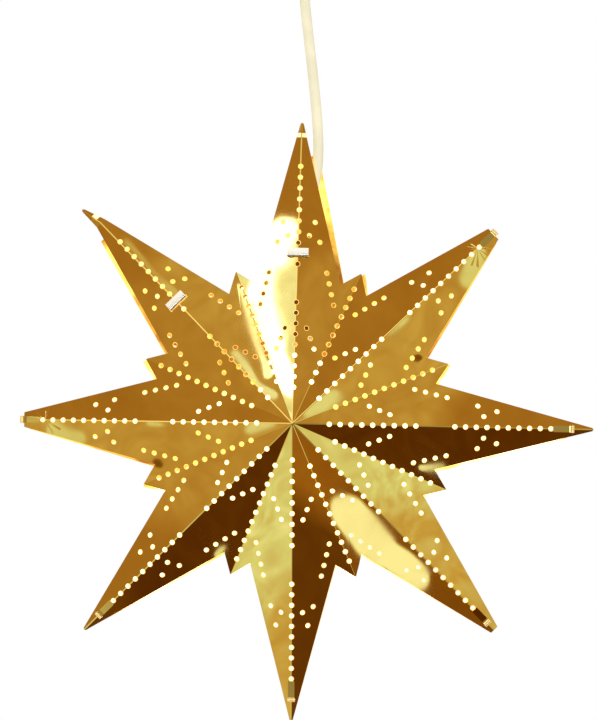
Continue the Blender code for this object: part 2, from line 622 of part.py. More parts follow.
def build_lampholder(centre, finish):
    black, brass = finish["black phenolic"], finish["contact brass"]
    strap_top = STRAP_LEVEL + STRAP_THICKNESS / 2 + CLEARANCE
    low, high = strap_top, strap_top + GRIP_NUT_HEIGHT
    bore, wide = CORD_BORE_RADIUS, NIPPLE_RADIUS + CLEARANCE
    inside = strap_top + NIPPLE_RISE + CLEARANCE
    profile = [(GRIP_NUT_RADIUS, low), (GRIP_NUT_RADIUS, high - GRIP_NUT_CHAMFER)]
    profile += [(GRIP_NUT_RADIUS - GRIP_NUT_CHAMFER, high), (bore, high)]
    profile += [(bore, inside), (wide, inside), (wide, low)]
    add("grip_nut", revolved("grip_nut", profile, SMALL_SIDES), black, centre)

    wall, crown = HOLDER_CAP_WALL, HOLDER_CROWN_RADIUS
    inner = HOLDER_RADIUS - wall
    profile = [(bore, strap_top + NIPPLE_RISE), (NIPPLE_RADIUS, strap_top + NIPPLE_RISE)]
    profile += [(NIPPLE_RADIUS, CAP_TOP), (crown, CAP_TOP), (HOLDER_RADIUS, CAP_TOP - HOLDER_CAP_CROWN)]
    profile += [(HOLDER_RADIUS, CAP_BOTTOM), (inner, CAP_BOTTOM), (inner, CAP_TOP - HOLDER_CAP_CROWN)]
    profile += [(crown - wall / 2, CAP_TOP - wall), (bore, CAP_TOP - wall)]
    add("holder_cap", revolved("holder_cap", profile), black, centre)

    inner = HOLDER_RADIUS - HOLDER_BODY_WALL
    ledge_low, bottom = LEDGE_TOP - LEDGE_THICKNESS, BODY_TOP - HOLDER_BODY_HEIGHT
    profile = [(HOLDER_RADIUS, BODY_TOP), (HOLDER_RADIUS, bottom), (inner, bottom), (inner, ledge_low)]
    profile += [(inner - LEDGE_REACH, ledge_low), (inner - LEDGE_REACH, LEDGE_TOP), (inner, LEDGE_TOP)]
    profile += [(inner, BODY_TOP)]
    add("holder_body", revolved("holder_body", profile), black, centre)

    radius, stem = HOLDER_RADIUS - HOLDER_CAP_WALL - CLEARANCE, CONTACT_STEM_RADIUS + CLEARANCE
    profile = [(stem, INSERT_TOP), (radius, INSERT_TOP), (radius, INSERT_BOTTOM), (stem, INSERT_BOTTOM)]
    add("holder_insert", revolved("holder_insert", profile), finish["white enamel"], centre)

    inner, low = SLEEVE_RADIUS - SLEEVE_WALL, SLEEVE_TOP - SLEEVE_LENGTH
    profile = [(inner, low), (SLEEVE_RADIUS, low), (SLEEVE_RADIUS, SLEEVE_TOP), (inner, SLEEVE_TOP)]
    add("thread_sleeve", revolved("thread_sleeve", profile), brass, centre)

    head = CONTACT_HEAD_RADIUS
    profile = [(0, INSERT_TOP), (CONTACT_STEM_RADIUS, INSERT_TOP), (CONTACT_STEM_RADIUS, SLEEVE_TOP)]
    profile += [(head, SLEEVE_TOP), (head, SLEEVE_TOP - CONTACT_HEAD), (0, SLEEVE_TOP - CONTACT_HEAD)]
    add("centre_contact", revolved("centre_contact", profile, SMALL_SIDES), brass, centre)

    for number, side in enumerate((-1, 1), 1):
        top, bottom = CAP_TOP - HOLDER_CAP_WALL - CLEARANCE, INSERT_TOP + CLEARANCE
        mid = (side * (WIRE_OFFSET + HOLDER_WIRE_SPREAD) / 2, 0, (top + bottom) / 2)
        route = [(side * WIRE_OFFSET, 0, top), mid, (side * HOLDER_WIRE_SPREAD, 0, bottom)]
        tube(f"holder_wire_{number}", route, WIRE_RADIUS, finish["wire insulation"], centre, WIRE_GRIP)


def build_bulb(axis, finish):
    """The bulb, hanging from its contact at the origin to the end of its globe."""
    steel, white = finish["plated steel"], finish["white enamel"]
    profile = [(0, 0), (BASE_TIP_RADIUS / 2, 0), (BASE_TIP_RADIUS, -BASE_TIP_HEIGHT), (0, -BASE_TIP_HEIGHT)]
    add("bulb_tip", revolved("bulb_tip", profile, SMALL_SIDES), steel, axis)

    glass_top = -BASE_TIP_HEIGHT - CLEARANCE
    glass_bottom = glass_top - BASE_GLASS_HEIGHT
    profile = [(0, glass_top), (BASE_TIP_RADIUS, glass_top), (BASE_GLASS_RADIUS, glass_bottom)]
    glass = revolved("bulb_insulator", [*profile, (0, glass_bottom)], SMALL_SIDES)
    add("bulb_insulator", glass, finish["black phenolic"], axis)

    base_top = glass_bottom - CLEARANCE
    base_bottom = base_top - BASE_LENGTH
    bore, root = BASE_RADIUS - BASE_WALL, BASE_RADIUS - THREAD_DEPTH
    profile = [(bore, base_bottom), (bore, base_top), (root, base_top)]
    for k in range(int(BASE_LENGTH / THREAD_PITCH)):
        z = base_top - k * THREAD_PITCH
        profile += [(BASE_RADIUS, z - THREAD_PITCH / 2), (root, z - THREAD_PITCH)]
    if profile[-1][1] > base_bottom:
        profile.append((root, base_bottom))
    add("bulb_base", revolved("bulb_base", profile), steel, axis)

    half_width, half_thick = bore - 2 * CLEARANCE, DRIVER_THICKNESS / 2
    low = base_top - (BASE_LENGTH + DRIVER_LENGTH) / 2
    size = ((-half_width, -half_thick, low), (half_width, half_thick, low + DRIVER_LENGTH))
    add("led_driver", block("led_driver", *size), finish["circuit board"], axis, smooth=False)

    top = base_bottom - CLEARANCE
    bottom = top - COLLAR_HEIGHT
    profile = [(COLLAR_BORE_RADIUS, top), (COLLAR_TOP_RADIUS, top), (COLLAR_RADIUS, bottom)]
    add("bulb_collar", revolved("bulb_collar", [*profile, (COLLAR_BORE_RADIUS, bottom)]), white, axis)

    board_top = bottom - CLEARANCE
    board_bottom = board_top - LED_BOARD_THICKNESS
    profile = [(0, board_top), (LED_BOARD_RADIUS, board_top), (LED_BOARD_RADIUS, board_bottom)]
    add("led_board", revolved("led_board", [*profile, (0, board_bottom)], SMALL_SIDES), white, axis)
    chip_top, half = board_bottom - CLEARANCE, LED_CHIP_SIZE / 2
    for k in range(LED_CHIPS):
        name = f"led_chip_{k + 1}"
        low = (LED_CHIP_RING - half, -half, chip_top - LED_CHIP_HEIGHT)
        high = (LED_CHIP_RING + half, half, chip_top)
        chip = add(name, block(name, low, high), finish["led phosphor"], axis, smooth=False)
        chip.rotation_euler = (0, 0, 2 * math.pi * k / LED_CHIPS)

    globe_z, inner = -BULB_LENGTH + GLOBE_RADIUS, GLOBE_RADIUS - GLOBE_WALL
    neck_inner = GLOBE_NECK_RADIUS - GLOBE_WALL
    neck, down = math.acos(GLOBE_NECK_RADIUS / GLOBE_RADIUS), -math.pi / 2
    outside = arc(globe_z, GLOBE_RADIUS, GLOBE_RADIUS, neck, down, 8)
    inside = arc(globe_z, inner, inner, down, math.acos(neck_inner / inner), 8)
    on_axis = [(0, outside[-1][1]), (0, inside[0][1])]
    profile = [(GLOBE_NECK_RADIUS, board_top), *outside[:-1], *on_axis, *inside[1:], (neck_inner, board_top)]
    add("bulb_globe", revolved("bulb_globe", profile), finish["opal glass"], axis)


def finishes():
    """Every finish by name, as (colour, roughness, metallic, glow)."""
    table = {
        "gold sheet": ((0.72, 0.47, 0.13), 0.18, 1.0, 0.0),
        "plated steel": ((0.72, 0.71, 0.69), 0.30, 1.0, 0.0),
        "contact brass": ((0.80, 0.62, 0.28), 0.30, 1.0, 0.0),
        "white enamel": ((0.86, 0.85, 0.82), 0.35, 0.0, 0.0),
        "ivory pvc": ((0.88, 0.84, 0.72), 0.45, 0.0, 0.0),
        "black phenolic": ((0.03, 0.03, 0.03), 0.40, 0.0, 0.0),
        "wire insulation": ((0.35, 0.16, 0.08), 0.50, 0.0, 0.0),
        "circuit board": ((0.05, 0.22, 0.10), 0.50, 0.0, 0.0),
        "led phosphor": ((0.95, 0.72, 0.20), 0.40, 0.0, 1.0),
        "opal glass": ((1.00, 0.88, 0.62), 0.25, 0.0, 2.0),
    }
    return {name: material(name, *look) for name, look in table.items()}


def build():
    for existing in list(bpy.data.objects):
        bpy.data.objects.remove(existing, do_unlink=True)
    finish = finishes()
    ceiling = empty("ceiling")
    pivot = empty("ball_pivot", ceiling, (0, 0, -PIVOT_DROP))
    centre = empty("star_centre", pivot, (0, 0, PIVOT_DROP - STAR_DROP))
    bulb_axis = empty("bulb_axis", centre, (0, 0, BULB_TOP))
    build_ceiling_fitting(ceiling, finish)
    build_swivel(pivot, finish)
    build_cord_top(pivot, finish)
    build_cord(centre, finish)
    build_shells(centre, finish)
    build_straps(centre, finish)
    build_lampholder(centre, finish)
    build_bulb(bulb_axis, finish)


build()
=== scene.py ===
# A lit Christmas star of folded, punched brass sheet, in a plain pale studio.
# Metres, +Z up. The star's front faces -Y, and the origin is on the ceiling above it.
import math

import bmesh
import bpy
from mathutils import Matrix, Vector


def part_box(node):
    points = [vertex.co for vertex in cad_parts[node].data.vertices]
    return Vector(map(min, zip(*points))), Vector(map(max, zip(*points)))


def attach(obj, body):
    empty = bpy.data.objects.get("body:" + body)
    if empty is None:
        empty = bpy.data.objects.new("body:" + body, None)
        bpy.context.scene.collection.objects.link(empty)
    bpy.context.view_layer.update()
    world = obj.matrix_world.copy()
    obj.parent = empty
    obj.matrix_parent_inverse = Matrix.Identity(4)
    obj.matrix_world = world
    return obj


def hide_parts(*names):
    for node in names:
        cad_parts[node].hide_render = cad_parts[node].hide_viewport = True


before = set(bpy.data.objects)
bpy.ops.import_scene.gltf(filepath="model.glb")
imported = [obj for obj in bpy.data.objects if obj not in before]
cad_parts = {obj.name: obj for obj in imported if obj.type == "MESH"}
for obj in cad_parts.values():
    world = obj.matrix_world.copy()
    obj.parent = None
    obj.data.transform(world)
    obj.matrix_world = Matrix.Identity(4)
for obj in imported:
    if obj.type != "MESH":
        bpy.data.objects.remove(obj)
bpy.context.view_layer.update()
scene = bpy.context.scene

shellLow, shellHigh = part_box("front_shell")
starRadius = (shellHigh.z - shellLow.z) / 2
starCentre = Vector((0, 0, (shellHigh.z + shellLow.z) / 2))

folds = {  # the shape of both shells, seen from the front
    "points": 8,
    "notchAlong": 0.0820,
    "notchAcross": 0.0249,
    "shortTip": 0.0964,
    "tipHalfWidth": 0.0008,
    "tipChamfer": 0.0008,
    "rimHeight": 0.0005,
    "ridgeStep": 0.003,  # past the notches, where the long tips' rows of faces begin
    "sheet": 0.0005,
    "slantShare": 1.115,  # of the sheet, from front to back through a slanting facet
    "halfGap": 0.00015,
    "foldRounding": 0.00025,
    "roundedFrom": 12,  # degrees between two facets
    "nose": {  # of a long tip that is bent back
        "Nose start": 0.1650,
        "Nose curve": 0.0055,
        "Nose bend": 0.25,
        "Nose cosine": 0.8,  # of the angle that bends, to both sides of a direction
    },
    "noseRows": 7,
    "merge": 0.00002,  # what lies nearer than this is one spot
    "least": 0.000001,  # the same before the points are joined
}
sector = math.pi / folds["points"]
ridgeHeight = -shellLow.y - folds["halfGap"] - folds["sheet"] * folds["slantShare"]
ridgeSlope = (ridgeHeight - folds["rimHeight"]) / starRadius
ridgeAngle = math.atan(ridgeSlope)
sectorReach = math.cos(ridgeAngle) * math.cos(sector)
valleySlope = math.tan(
    math.atan2(math.sin(ridgeAngle), sectorReach)
    + math.acos(math.cos(sector) / math.hypot(sectorReach, math.sin(ridgeAngle)))
)
acrossSlope = (valleySlope - ridgeSlope * math.cos(sector)) / math.sin(sector)
sheetDepth = folds["sheet"] * math.hypot(1, ridgeSlope, acrossSlope)

assembly = {  # how the two shells are held together
    "ends": ("pointed", "blunt", "pointed", "snubbed", "pointed", "pointed", "blunt", "pointed"),
    "tongueWidth": 0.0038,
    "tongueFromTip": 0.0127,
    "tongueLength": 0.0112,
    "tongueRoot": 0.0060,
    "tongueDip": 0.0015,
    "tongueRoll": 0.0011,  # of its bend
    "tongueTurn": 150,  # degrees
    "turnSteps": 8,
    "rollWidth": 0.0044,
    "endShares": {"blunt": 0.5, "snubbed": 0.2, "pointed": 0.2},  # how round a tongue's end is
    "endSteps": 6,
    "endLeast": 0.1,  # share of its roundness that is cut short
    "stripSmooth": 40,  # degrees
    "backSetback": 0.0033,
    "snubReach": 0.0048,
    "slotHalf": 0.0009,
    "slotReach": 0.004,
    "endHalf": 0.012,  # of what cuts a tip's end off
    "endReach": 0.006,
    "clearance": 0.0003,
    "strapPoints": {"hanger_strap": 0, "tie_strap": 7},
    "strapWidth": 0.0125,
    "strapThickness": 0.0008,
    "strapBend": 0.0012,
    "strapLevel": 0.0986,
    "strapTab": 0.0045,
    "slip": (-0.0011, 0.0, -0.0012),  # of the middle of the back shell
    "slipStart": 0.085,
    "spread": 0.0235,  # by how much of its size that middle is wider, down to the lower notches
    "frontLeans": (  # long tips that hang bent: point, where that starts along it, move of its end
        (0, 0.1035, (0.0, 0.0009, 0.0035)),
        (7, 0.1620, (-0.0060, 0.0, 0.0014)),
    ),
    "backLeans": (
        (0, 0.0500, (0.0064, 0.0, 0.0)),
        (7, 0.0500, (-0.0025, 0.0, -0.0025)),
    ),
    "leanHalf": 0.0385,  # as far as this from the point's ridge
}
tongueRadius = starRadius - assembly["tongueFromTip"]


def innerHeight(along, across=0.0):
    return folds["halfGap"] + ridgeHeight - ridgeSlope * along - acrossSlope * across


def outerHeight(along, across=0.0):
    return innerHeight(along, across) + sheetDepth


def pointFrame(index):  # from (across, out, along) of one point to the row frame, clockwise from the top
    return Matrix.Translation(starCentre) @ Matrix.Rotation(2 * sector * index, 4, "Y")


def direction(turn):  # in the star's plane, clockwise from the top
    return (math.sin(turn), 0.0, math.cos(turn))


# Camera


view = {
    "azimuth": 3.0,  # degrees
    "elevation": -0.6,
    "distance": 2.2,
    "lean": 1.05,  # degrees that the star leans to the right
    "pixelSize": 0.000591,  # metres at the star
    "frameWidth": 596,
    "frameHeight": 720,
    "centreX": 296.6,  # pixels, of the star's middle
    "centreY": 424.4,
    "sensor": 36.0,
    "farthest": 100,
}


def placeCamera():
    azimuth, elevation = math.radians(view["azimuth"]), math.radians(view["elevation"])
    level = math.cos(elevation)
    back = Vector((math.sin(azimuth) * level, -math.cos(azimuth) * level, math.sin(elevation)))
    camera = bpy.data.objects.new("camera", bpy.data.cameras.new("camera"))
    scene.collection.objects.link(camera)
    scene.camera = camera
    aim = back.to_track_quat("Z", "Y").to_matrix().to_4x4()
    lean = Matrix.Rotation(math.radians(view["lean"]), 4, "Z")
    camera.matrix_world = Matrix.Translation(starCentre + back * view["distance"]) @ aim @ lean
    lens = camera.data
    lens.sensor_width = view["sensor"]
    lens.lens = lens.sensor_width * view["distance"] / (view["frameHeight"] * view["pixelSize"])
    lens.shift_x = (view["frameWidth"] / 2 - view["centreX"]) / view["frameHeight"]
    lens.shift_y = (view["centreY"] - view["frameHeight"] / 2) / view["frameHeight"]
    lens.clip_end = view["farthest"]


placeCamera()


# Helpers for nodes


class Flow:  # what a node puts out, whose sums and products are nodes of the same tree
    def __init__(self, tree, socket):
        self.tree, self.socket = tree, socket
        self.reckon = steer if socket.type == "VECTOR" else reckon

    def __add__(self, other):
        return self.reckon("ADD", self, other)

    def __sub__(self, other):
        return self.reckon("SUBTRACT", self, other)

    def __rsub__(self, other):
        return reckon("SUBTRACT", other, self)

    def __mul__(self, other):
        if self.socket.type == "VECTOR":
            return node(self.tree, "ShaderNodeVectorMath", {0: self, "Scale": other}, operation="SCALE")
        return reckon("MULTIPLY", self, other)

    def __truediv__(self, other):
        return reckon("DIVIDE", self, other)


def put(tree, kind, inputs=None, **settings):  # one node, with its inputs set or linked
    made = tree.nodes.new(kind)
    for name, value in settings.items():
        setattr(made, name, value)
    for name, value in (inputs or {}).items():
        if isinstance(value, Flow):
            lead(value, made.inputs[name])
        else:
            made.inputs[name].default_value = value
    return made


def node(tree, kind, inputs=None, give=0, **settings):
    return Flow(tree, put(tree, kind, inputs, **settings).outputs[give])


def lead(source, target):
    source.tree.links.new(source.socket, target)


def flowsOf(tree, made):
    return {socket.name: Flow(tree, socket) for socket in made.outputs}


def treeOf(*values):
    return next(value.tree for value in values if isinstance(value, Flow))


def reckon(operation, *values, clamp=False):
    inputs = dict(enumerate(values))
    return node(treeOf(*values), "ShaderNodeMath", inputs, operation=operation, use_clamp=clamp)


def steer(operation, *values, give=0):
    return node(treeOf(*values), "ShaderNodeVectorMath", dict(enumerate(values)), give, operation=operation)


def length(vector):
    return steer("LENGTH", vector, give="Value")


def dot(first, second):
    return steer("DOT_PRODUCT", first, second, give="Value")


def split(vector):
    made = put(vector.tree, "ShaderNodeSeparateXYZ", {0: vector})
    return [Flow(vector.tree, socket) for socket in made.outputs]


def join(x=0.0, y=0.0, z=0.0):
    return node(treeOf(x, y, z), "ShaderNodeCombineXYZ", {0: x, 1: y, 2: z})


def stretch(source, low, high, start=0.0, end=1.0):
    return node(source.tree, "ShaderNodeMapRange", {"Value": source, 1: low, 2: high, 3: start, 4: end})


def mix(share, under, over):
    return node(share.tree, "ShaderNodeMix", {0: share, 2: under, 3: over})


def mixTone(share, under, over):
    under, over = ((*tone, 1.0) if isinstance(tone, tuple) else tone for tone in (under, over))
    return node(share.tree, "ShaderNodeMix", {0: share, 6: under, 7: over}, 2, data_type="RGBA")


def rampOf(source, stops, interpolation="LINEAR"):
    made = put(source.tree, "ShaderNodeValToRGB", {"Fac": source})
    ramp = made.color_ramp
    ramp.interpolation = interpolation
    while len(ramp.elements) < len(stops):
        ramp.elements.new(0.5)
    for element, (place, tone) in zip(ramp.elements, stops):
        element.position = place
        element.color = (*tone, 1.0)
    return Flow(source.tree, made.outputs["Color"])


def noise(vector, scale, detail, warp=0.0, give="Fac"):
    inputs = {"Vector": vector, "Scale": scale, "Detail": detail, "Distortion": warp}
    return node(vector.tree, "ShaderNodeTexNoise", inputs, give)


def objectPlace(tree):
    return node(tree, "ShaderNodeTexCoord", give="Object")


def geometryTree(name, *sockets):  # its sockets as labels under their kind
    tree = bpy.data.node_groups.new(name, "GeometryNodeTree")
    for kind, labels in (("Geometry", ("Geometry",)), *sockets):
        for label in labels:
            tree.interface.new_socket(label, in_out="INPUT", socket_type="NodeSocket" + kind)
    tree.interface.new_socket("Geometry", in_out="OUTPUT", socket_type="NodeSocketGeometry")
    return tree, flowsOf(tree, tree.nodes.new("NodeGroupInput")), tree.nodes.new("NodeGroupOutput").inputs[0]


def here(tree):
    return node(tree, "GeometryNodeInputPosition")


def shift(geometry, **inputs):
    return node(geometry.tree, "GeometryNodeSetPosition", {"Geometry": geometry, **inputs})


def transform(geometry, **inputs):
    return node(geometry.tree, "GeometryNodeTransform", {"Geometry": geometry, **inputs})


def dress(geometry, given, out):  # the tree's result, in its material
    lead(node(geometry.tree, "GeometryNodeSetMaterial", {0: geometry, "Material": given["Material"]}), out)


def gather(*parts):
    made = put(parts[0].tree, "GeometryNodeJoinGeometry")
    for part in parts:
        lead(part, made.inputs[0])
    return Flow(parts[0].tree, made.outputs[0])


def copiesOn(points, thing, **inputs):
    inputs = {"Points": points, "Instance": thing, **inputs}
    copies = node(points.tree, "GeometryNodeInstanceOnPoints", inputs)
    return node(points.tree, "GeometryNodeRealizeInstances", {0: copies})


def dotsRound(count):  # that many points at one place, and the turn that each one takes
    dots = node(count.tree, "GeometryNodeMeshLine", {"Count": count, "Offset": (0, 0, 0)})
    return dots, node(count.tree, "GeometryNodeInputIndex") * (2 * math.pi) / count


def circle(tree, sides, radius):
    return node(tree, "GeometryNodeCurvePrimitiveCircle", {"Resolution": sides, "Radius": radius})


def aimed(tree, axis):
    return node(tree, "FunctionNodeAlignRotationToVector", {"Vector": axis}, axis="Z")


def growWith(thing, tree, values):
    modifier = thing.modifiers.new(tree.name, "NODES")
    modifier.node_group = tree
    sockets = [s for s in tree.interface.items_tree if s.item_type == "SOCKET" and s.in_out == "INPUT"]
    identifiers = {s.name: s.identifier for s in sockets}
    for label, value in values.items():
        modifier[identifiers[label]] = value


# Helpers for meshes


def settle(thing):  # what the modifiers make, as a plain mesh
    bpy.context.view_layer.update()
    depsgraph = bpy.context.evaluated_depsgraph_get()
    mesh = bpy.data.meshes.new_from_object(thing.evaluated_get(depsgraph), depsgraph=depsgraph)
    thing.modifiers.clear()
    thing.data = mesh
    return thing


def newPiece(name, bm, surface, smooth=35.0):
    mesh = bpy.data.meshes.new(name)
    bm.to_mesh(mesh)
    bm.free()
    piece = bpy.data.objects.new(name, mesh)
    scene.collection.objects.link(piece)
    if surface:
        mesh.materials.append(surface)
    if smooth:
        mesh.shade_smooth()
        mesh.set_sharp_from_angle(angle=math.radians(smooth))
    return piece


def dressed(piece, body, slot, *nodes):
    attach(piece, body)
    if nodes:
        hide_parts(*nodes)
    return piece


def turned(name, profile, surface, centre, sides=96):
    bm = bmesh.new()
    rings = []
    for radius, z in profile:
        turns = [2 * math.pi * k / sides for k in range(sides if radius else 1)]
        rings.append([bm.verts.new((radius * math.cos(t), radius * math.sin(t), z)) for t in turns])
    for low, high in zip(rings, rings[1:] + rings[:1]):
        for k in range(sides):
            n = (k + 1) % sides
            corners = [low[k % len(low)], low[n % len(low)], high[n % len(high)], high[k % len(high)]]
            corners = list(dict.fromkeys(corners))
            if len(corners) > 2:
                bm.faces.new(corners)
    bmesh.ops.recalc_face_normals(bm, faces=bm.faces)
    bmesh.ops.translate(bm, vec=centre, verts=bm.verts)
    return newPiece(name, bm, surface)


def bow(centreR, centreZ, radiusR, radiusZ, start, stop, steps):  # an arc of a turned profile, in degrees
    turns = [math.radians(start + (stop - start) * k / steps) for k in range(steps + 1)]
    return [(centreR + radiusR * math.cos(t), centreZ + radiusZ * math.sin(t)) for t in turns]


softened = {"turned": (0.45, 4), "strip": (0.49, 5)}  # share of a corner's sides at most, and steps


def softCorner(before, corner, after, radius, share, steps):  # a corner turned into an arc
    before, corner, after = Vector(before), Vector(corner), Vector(after)
    reach = min(radius, (before - corner).length * share, (after - corner).length * share)
    if reach < folds["merge"]:
        return [tuple(corner)]
    start = corner + (before - corner).normalized() * reach
    end = corner + (after - corner).normalized() * reach
    shares = [s / steps for s in range(steps + 1)]
    return [tuple(start * (1 - t) ** 2 + corner * 2 * t * (1 - t) + end * t**2) for t in shares]


def rounded(profile, radius):  # a closed profile with soft corners
    around = zip(profile[-1:] + profile[:-1], profile, profile[1:] + profile[:1])
    return [spot for corner in around for spot in softCorner(*corner, radius, *softened["turned"])]


def bent(path, radius):  # an open path with soft corners
    inner = []
    for corner in zip(path, path[1:], path[2:]):
        inner += softCorner(*corner, radius, *softened["strip"])
    return [path[0], *inner, path[-1]]


def ribbon(bm, place, path, widths, thickness):  # a strip along an (along, out) path in a point's plane
    path = [Vector(p) for p in path]
    runs = [(b - a).normalized() for a, b in zip(path, path[1:])]
    sections = []
    for k, spot in enumerate(path):
        before, after = runs[max(k - 1, 0)], runs[min(k, len(runs) - 1)]
        bisector = (before + after).normalized()
        normal = Vector((-bisector.y, bisector.x))
        lift = normal * (thickness / 2 / normal.dot(Vector((-after.y, after.x))))
        corners = []
        for half, side in ((-1, 1), (1, 1), (1, -1), (-1, -1)):
            along, out = spot + lift * side
            corners.append(bm.verts.new(place @ Vector((half * widths[k] / 2, out, along))))
        sections.append(corners)
    for low, high in zip(sections, sections[1:]):
        for k in range(4):
            n = (k + 1) % 4
            bm.faces.new((low[k], low[n], high[n], high[k]))
    bm.faces.new(sections[0][::-1])
    bm.faces.new(sections[-1])


# Effects that several finishes use


def shaderGroup(name, inputs, outputs):
    tree = bpy.data.node_groups.new(name, "ShaderNodeTree")
    for label, value in inputs.items():
        tree.interface.new_socket(label, in_out="INPUT", socket_type="NodeSocketFloat").default_value = value
    for label in outputs:
        tree.interface.new_socket(label, in_out="OUTPUT", socket_type="NodeSocketFloat")
    return tree, flowsOf(tree, tree.nodes.new("NodeGroupInput")), tree.nodes.new("NodeGroupOutput").inputs


def makeSurfaceGroup():  # slow waves in a surface, smudges on it and fine grain
    tree, given, out = shaderGroup(
        "surface marks",
        {"Wave scale": 20.0, "Smudge scale": 30.0, "Grain scale": 900.0, "Grain depth": 0.2},
        ("Smudges", "Height"),
    )
    place = objectPlace(tree)
    lead(noise(place, given["Smudge scale"], detail=6.0, warp=0.6), out["Smudges"])
    grain = noise(place, given["Grain scale"], detail=2.0) * given["Grain depth"]
    lead(noise(place, given["Wave scale"], detail=1.5) + grain, out["Height"])
    return tree


def makePlanGroup():  # where a spot is on the folded star: along its ridge, across it, and from the middle
    tree, given, out = shaderGroup(
        "star plan",
        {"Centre height": starCentre.z, "Shade turn": 0.0},
        ("Along", "Across", "Radius", "From shade"),
    )
    x, _, z = split(objectPlace(tree))
    up = z - given["Centre height"]
    radius = length(join(x, up))
    angle = reckon("ARCTAN2", x, up)
    turn = reckon("PINGPONG", angle, sector)
    lead(radius * reckon("COSINE", turn), out["Along"])
    lead(radius * reckon("SINE", turn), out["Across"])
    lead(radius, out["Radius"])
    lead(reckon("ABSOLUTE", angle - given["Shade turn"]), out["From shade"])
    return tree


def makeDentGroup():  # folds that run out from a pinched spot of the sheet
    tree, given, out = shaderGroup(
        "pinched spot",
        {"Place X": 0.0, "Place Z": 0.0, "Reach": 0.01, "Folds": 5.0, "Repeats": 4.0, "Narrowness": 5.0,
         "Smooth": 0.34, "Folded": 0.44},
        ("Height",),
    )
    x, _, z = split(objectPlace(tree))
    right, up = x - given["Place X"], z - given["Place Z"]
    share = reckon("SUBTRACT", 1.0, length(join(right, up)) / given["Reach"], clamp=True)
    angle = reckon("ARCTAN2", up, right)
    uneven = noise(join(reckon("COSINE", angle), reckon("SINE", angle)), given["Folds"], detail=0.0)
    crease = reckon("ABSOLUTE", reckon("FRACT", uneven * given["Repeats"]) - 0.5)
    crease = reckon("SUBTRACT", 1.0, crease * given["Narrowness"], clamp=True)
    lead(crease * (share * stretch(uneven, given["Smooth"], given["Folded"])), out["Height"])
    return tree


surfaceGroup, planGroup, dentGroup = makeSurfaceGroup(), makePlanGroup(), makeDentGroup()


def startFinish(name, values):
    made = bpy.data.materials.new(name)
    made.use_nodes = True
    surface = made.node_tree.nodes["Principled BSDF"].inputs
    for label, value in values.items():
        surface[label].default_value = value
    return made, made.node_tree, surface


def useGroup(tree, group, values):
    made = put(tree, "ShaderNodeGroup", node_tree=group)
    for label, value in values.items():
        made.inputs[label].default_value = value
    return flowsOf(tree, made)


def bumpFrom(surface, height, depth, strength=1.0):
    bump = node(height.tree, "ShaderNodeBump", {"Height": height, "Distance": depth, "Strength": strength})
    lead(bump, surface["Normal"])


sheetLook = {
    "clean": (0.86, 0.56, 0.15),
    "dullToneAndHalfShade": (0.80, 0.49, 0.12),
    "marks": {"Wave scale": 14.0, "Grain scale": 1500.0, "Grain depth": 0.004},
    "marksInside": {"Wave scale": 14.0, "Smudge scale": 90.0, "Grain scale": 1500.0, "Grain depth": 0.02},
    "marksDepth": 0.00002,
    "dulling": (0.42, 0.72),  # from and to which smudge
    "roughening": (0.35, 0.75, 0.008, 0.03),  # the same, and how rough there
    "roughInside": (0.3, 0.7, 0.35, 0.5),
    "dentPoints": (1, 6),  # whose last hole is pinched
    "dentAlong": 0.1486,
    "dent": {"Reach": 0.0110, "Folds": 1.3},
    "dentDepth": 0.00009,
    # painted light from the bulb, given off by the inside of the sheet: its tones by how lit a spot is; the
    # rim, shadow and half shadow values below are painted shade in it
    "glow": (
        (0.0, (0.20, 0.07, 0.01)), (0.3, (0.62, 0.36, 0.06)), (0.55, (0.95, 0.70, 0.16)),
        (1.0, (1.0, 1.0, 0.90)),
    ),
    # base colour of the inside by how lit a spot is: darker in painted shade
    "inside": ((0.0, (0.12, 0.05, 0.01)), (0.4, (0.45, 0.26, 0.05)), (0.8, (0.86, 0.56, 0.15))),
    "glowGain": 1.5,
    "rimReach": 0.007,  # how far in from the outline the inside is dimmer
    "rimLit": 0.16,
    "rimUneven": (0.38, 0.62, 0.20, 0.0),
    "rimMore": (  # where the rim is less dim: by what, from, to, how much
        ("Along", 0.094, 0.098, 0.34),
        ("Along", 0.120, 0.124, 0.30),
        ("Across", 0.0245, 0.0275, 0.60),
        ("From shade", 1.60, 1.85, 0.35),
    ),
    "shadeTurn": -0.34,  # radians from the top, of the lampholder's shadow
    "shadeHalf": (0.74, 0.98),
    "shadeRadius": (0.024, 0.032, 0.090, 0.102),
    "shadeFar": 0.5,
    "shadePatchy": (0.40, 0.60, 1.0, 0.6),
    "penumbraSides": ((1.02, 0.20), (-1.78, 0.20)),  # sides of points whose inside lies in a painted half shadow: turn and half width
    "penumbraFade": 0.04,
    "penumbraAcross": (0.0025, 0.0050),  # from their ridge
    "penumbraLit": 0.46,
    "openFade": 0.004,  # where the painted glow fades out, before the tips that are cut off
    "openLit": 0.15,
}


def makeOuterSheet():
    made, tree, surface = startFinish("polished gold sheet", {"Metallic": 1.0})
    marks = useGroup(tree, surfaceGroup, sheetLook["marks"])
    dulling = stretch(marks["Smudges"], *sheetLook["dulling"])
    lead(mixTone(dulling, sheetLook["clean"], sheetLook["dullToneAndHalfShade"]), surface["Base Color"])
    lead(stretch(marks["Smudges"], *sheetLook["roughening"]), surface["Roughness"])
    height = marks["Height"] * sheetLook["marksDepth"]
    for index in sheetLook["dentPoints"]:
        spot = pointFrame(index) @ Vector((0, 0, sheetLook["dentAlong"]))
        dent = useGroup(tree, dentGroup, {"Place X": spot.x, "Place Z": spot.z, **sheetLook["dent"]})
        height = height + dent["Height"] * sheetLook["dentDepth"]
    bumpFrom(surface, height, 1.0)
    return made
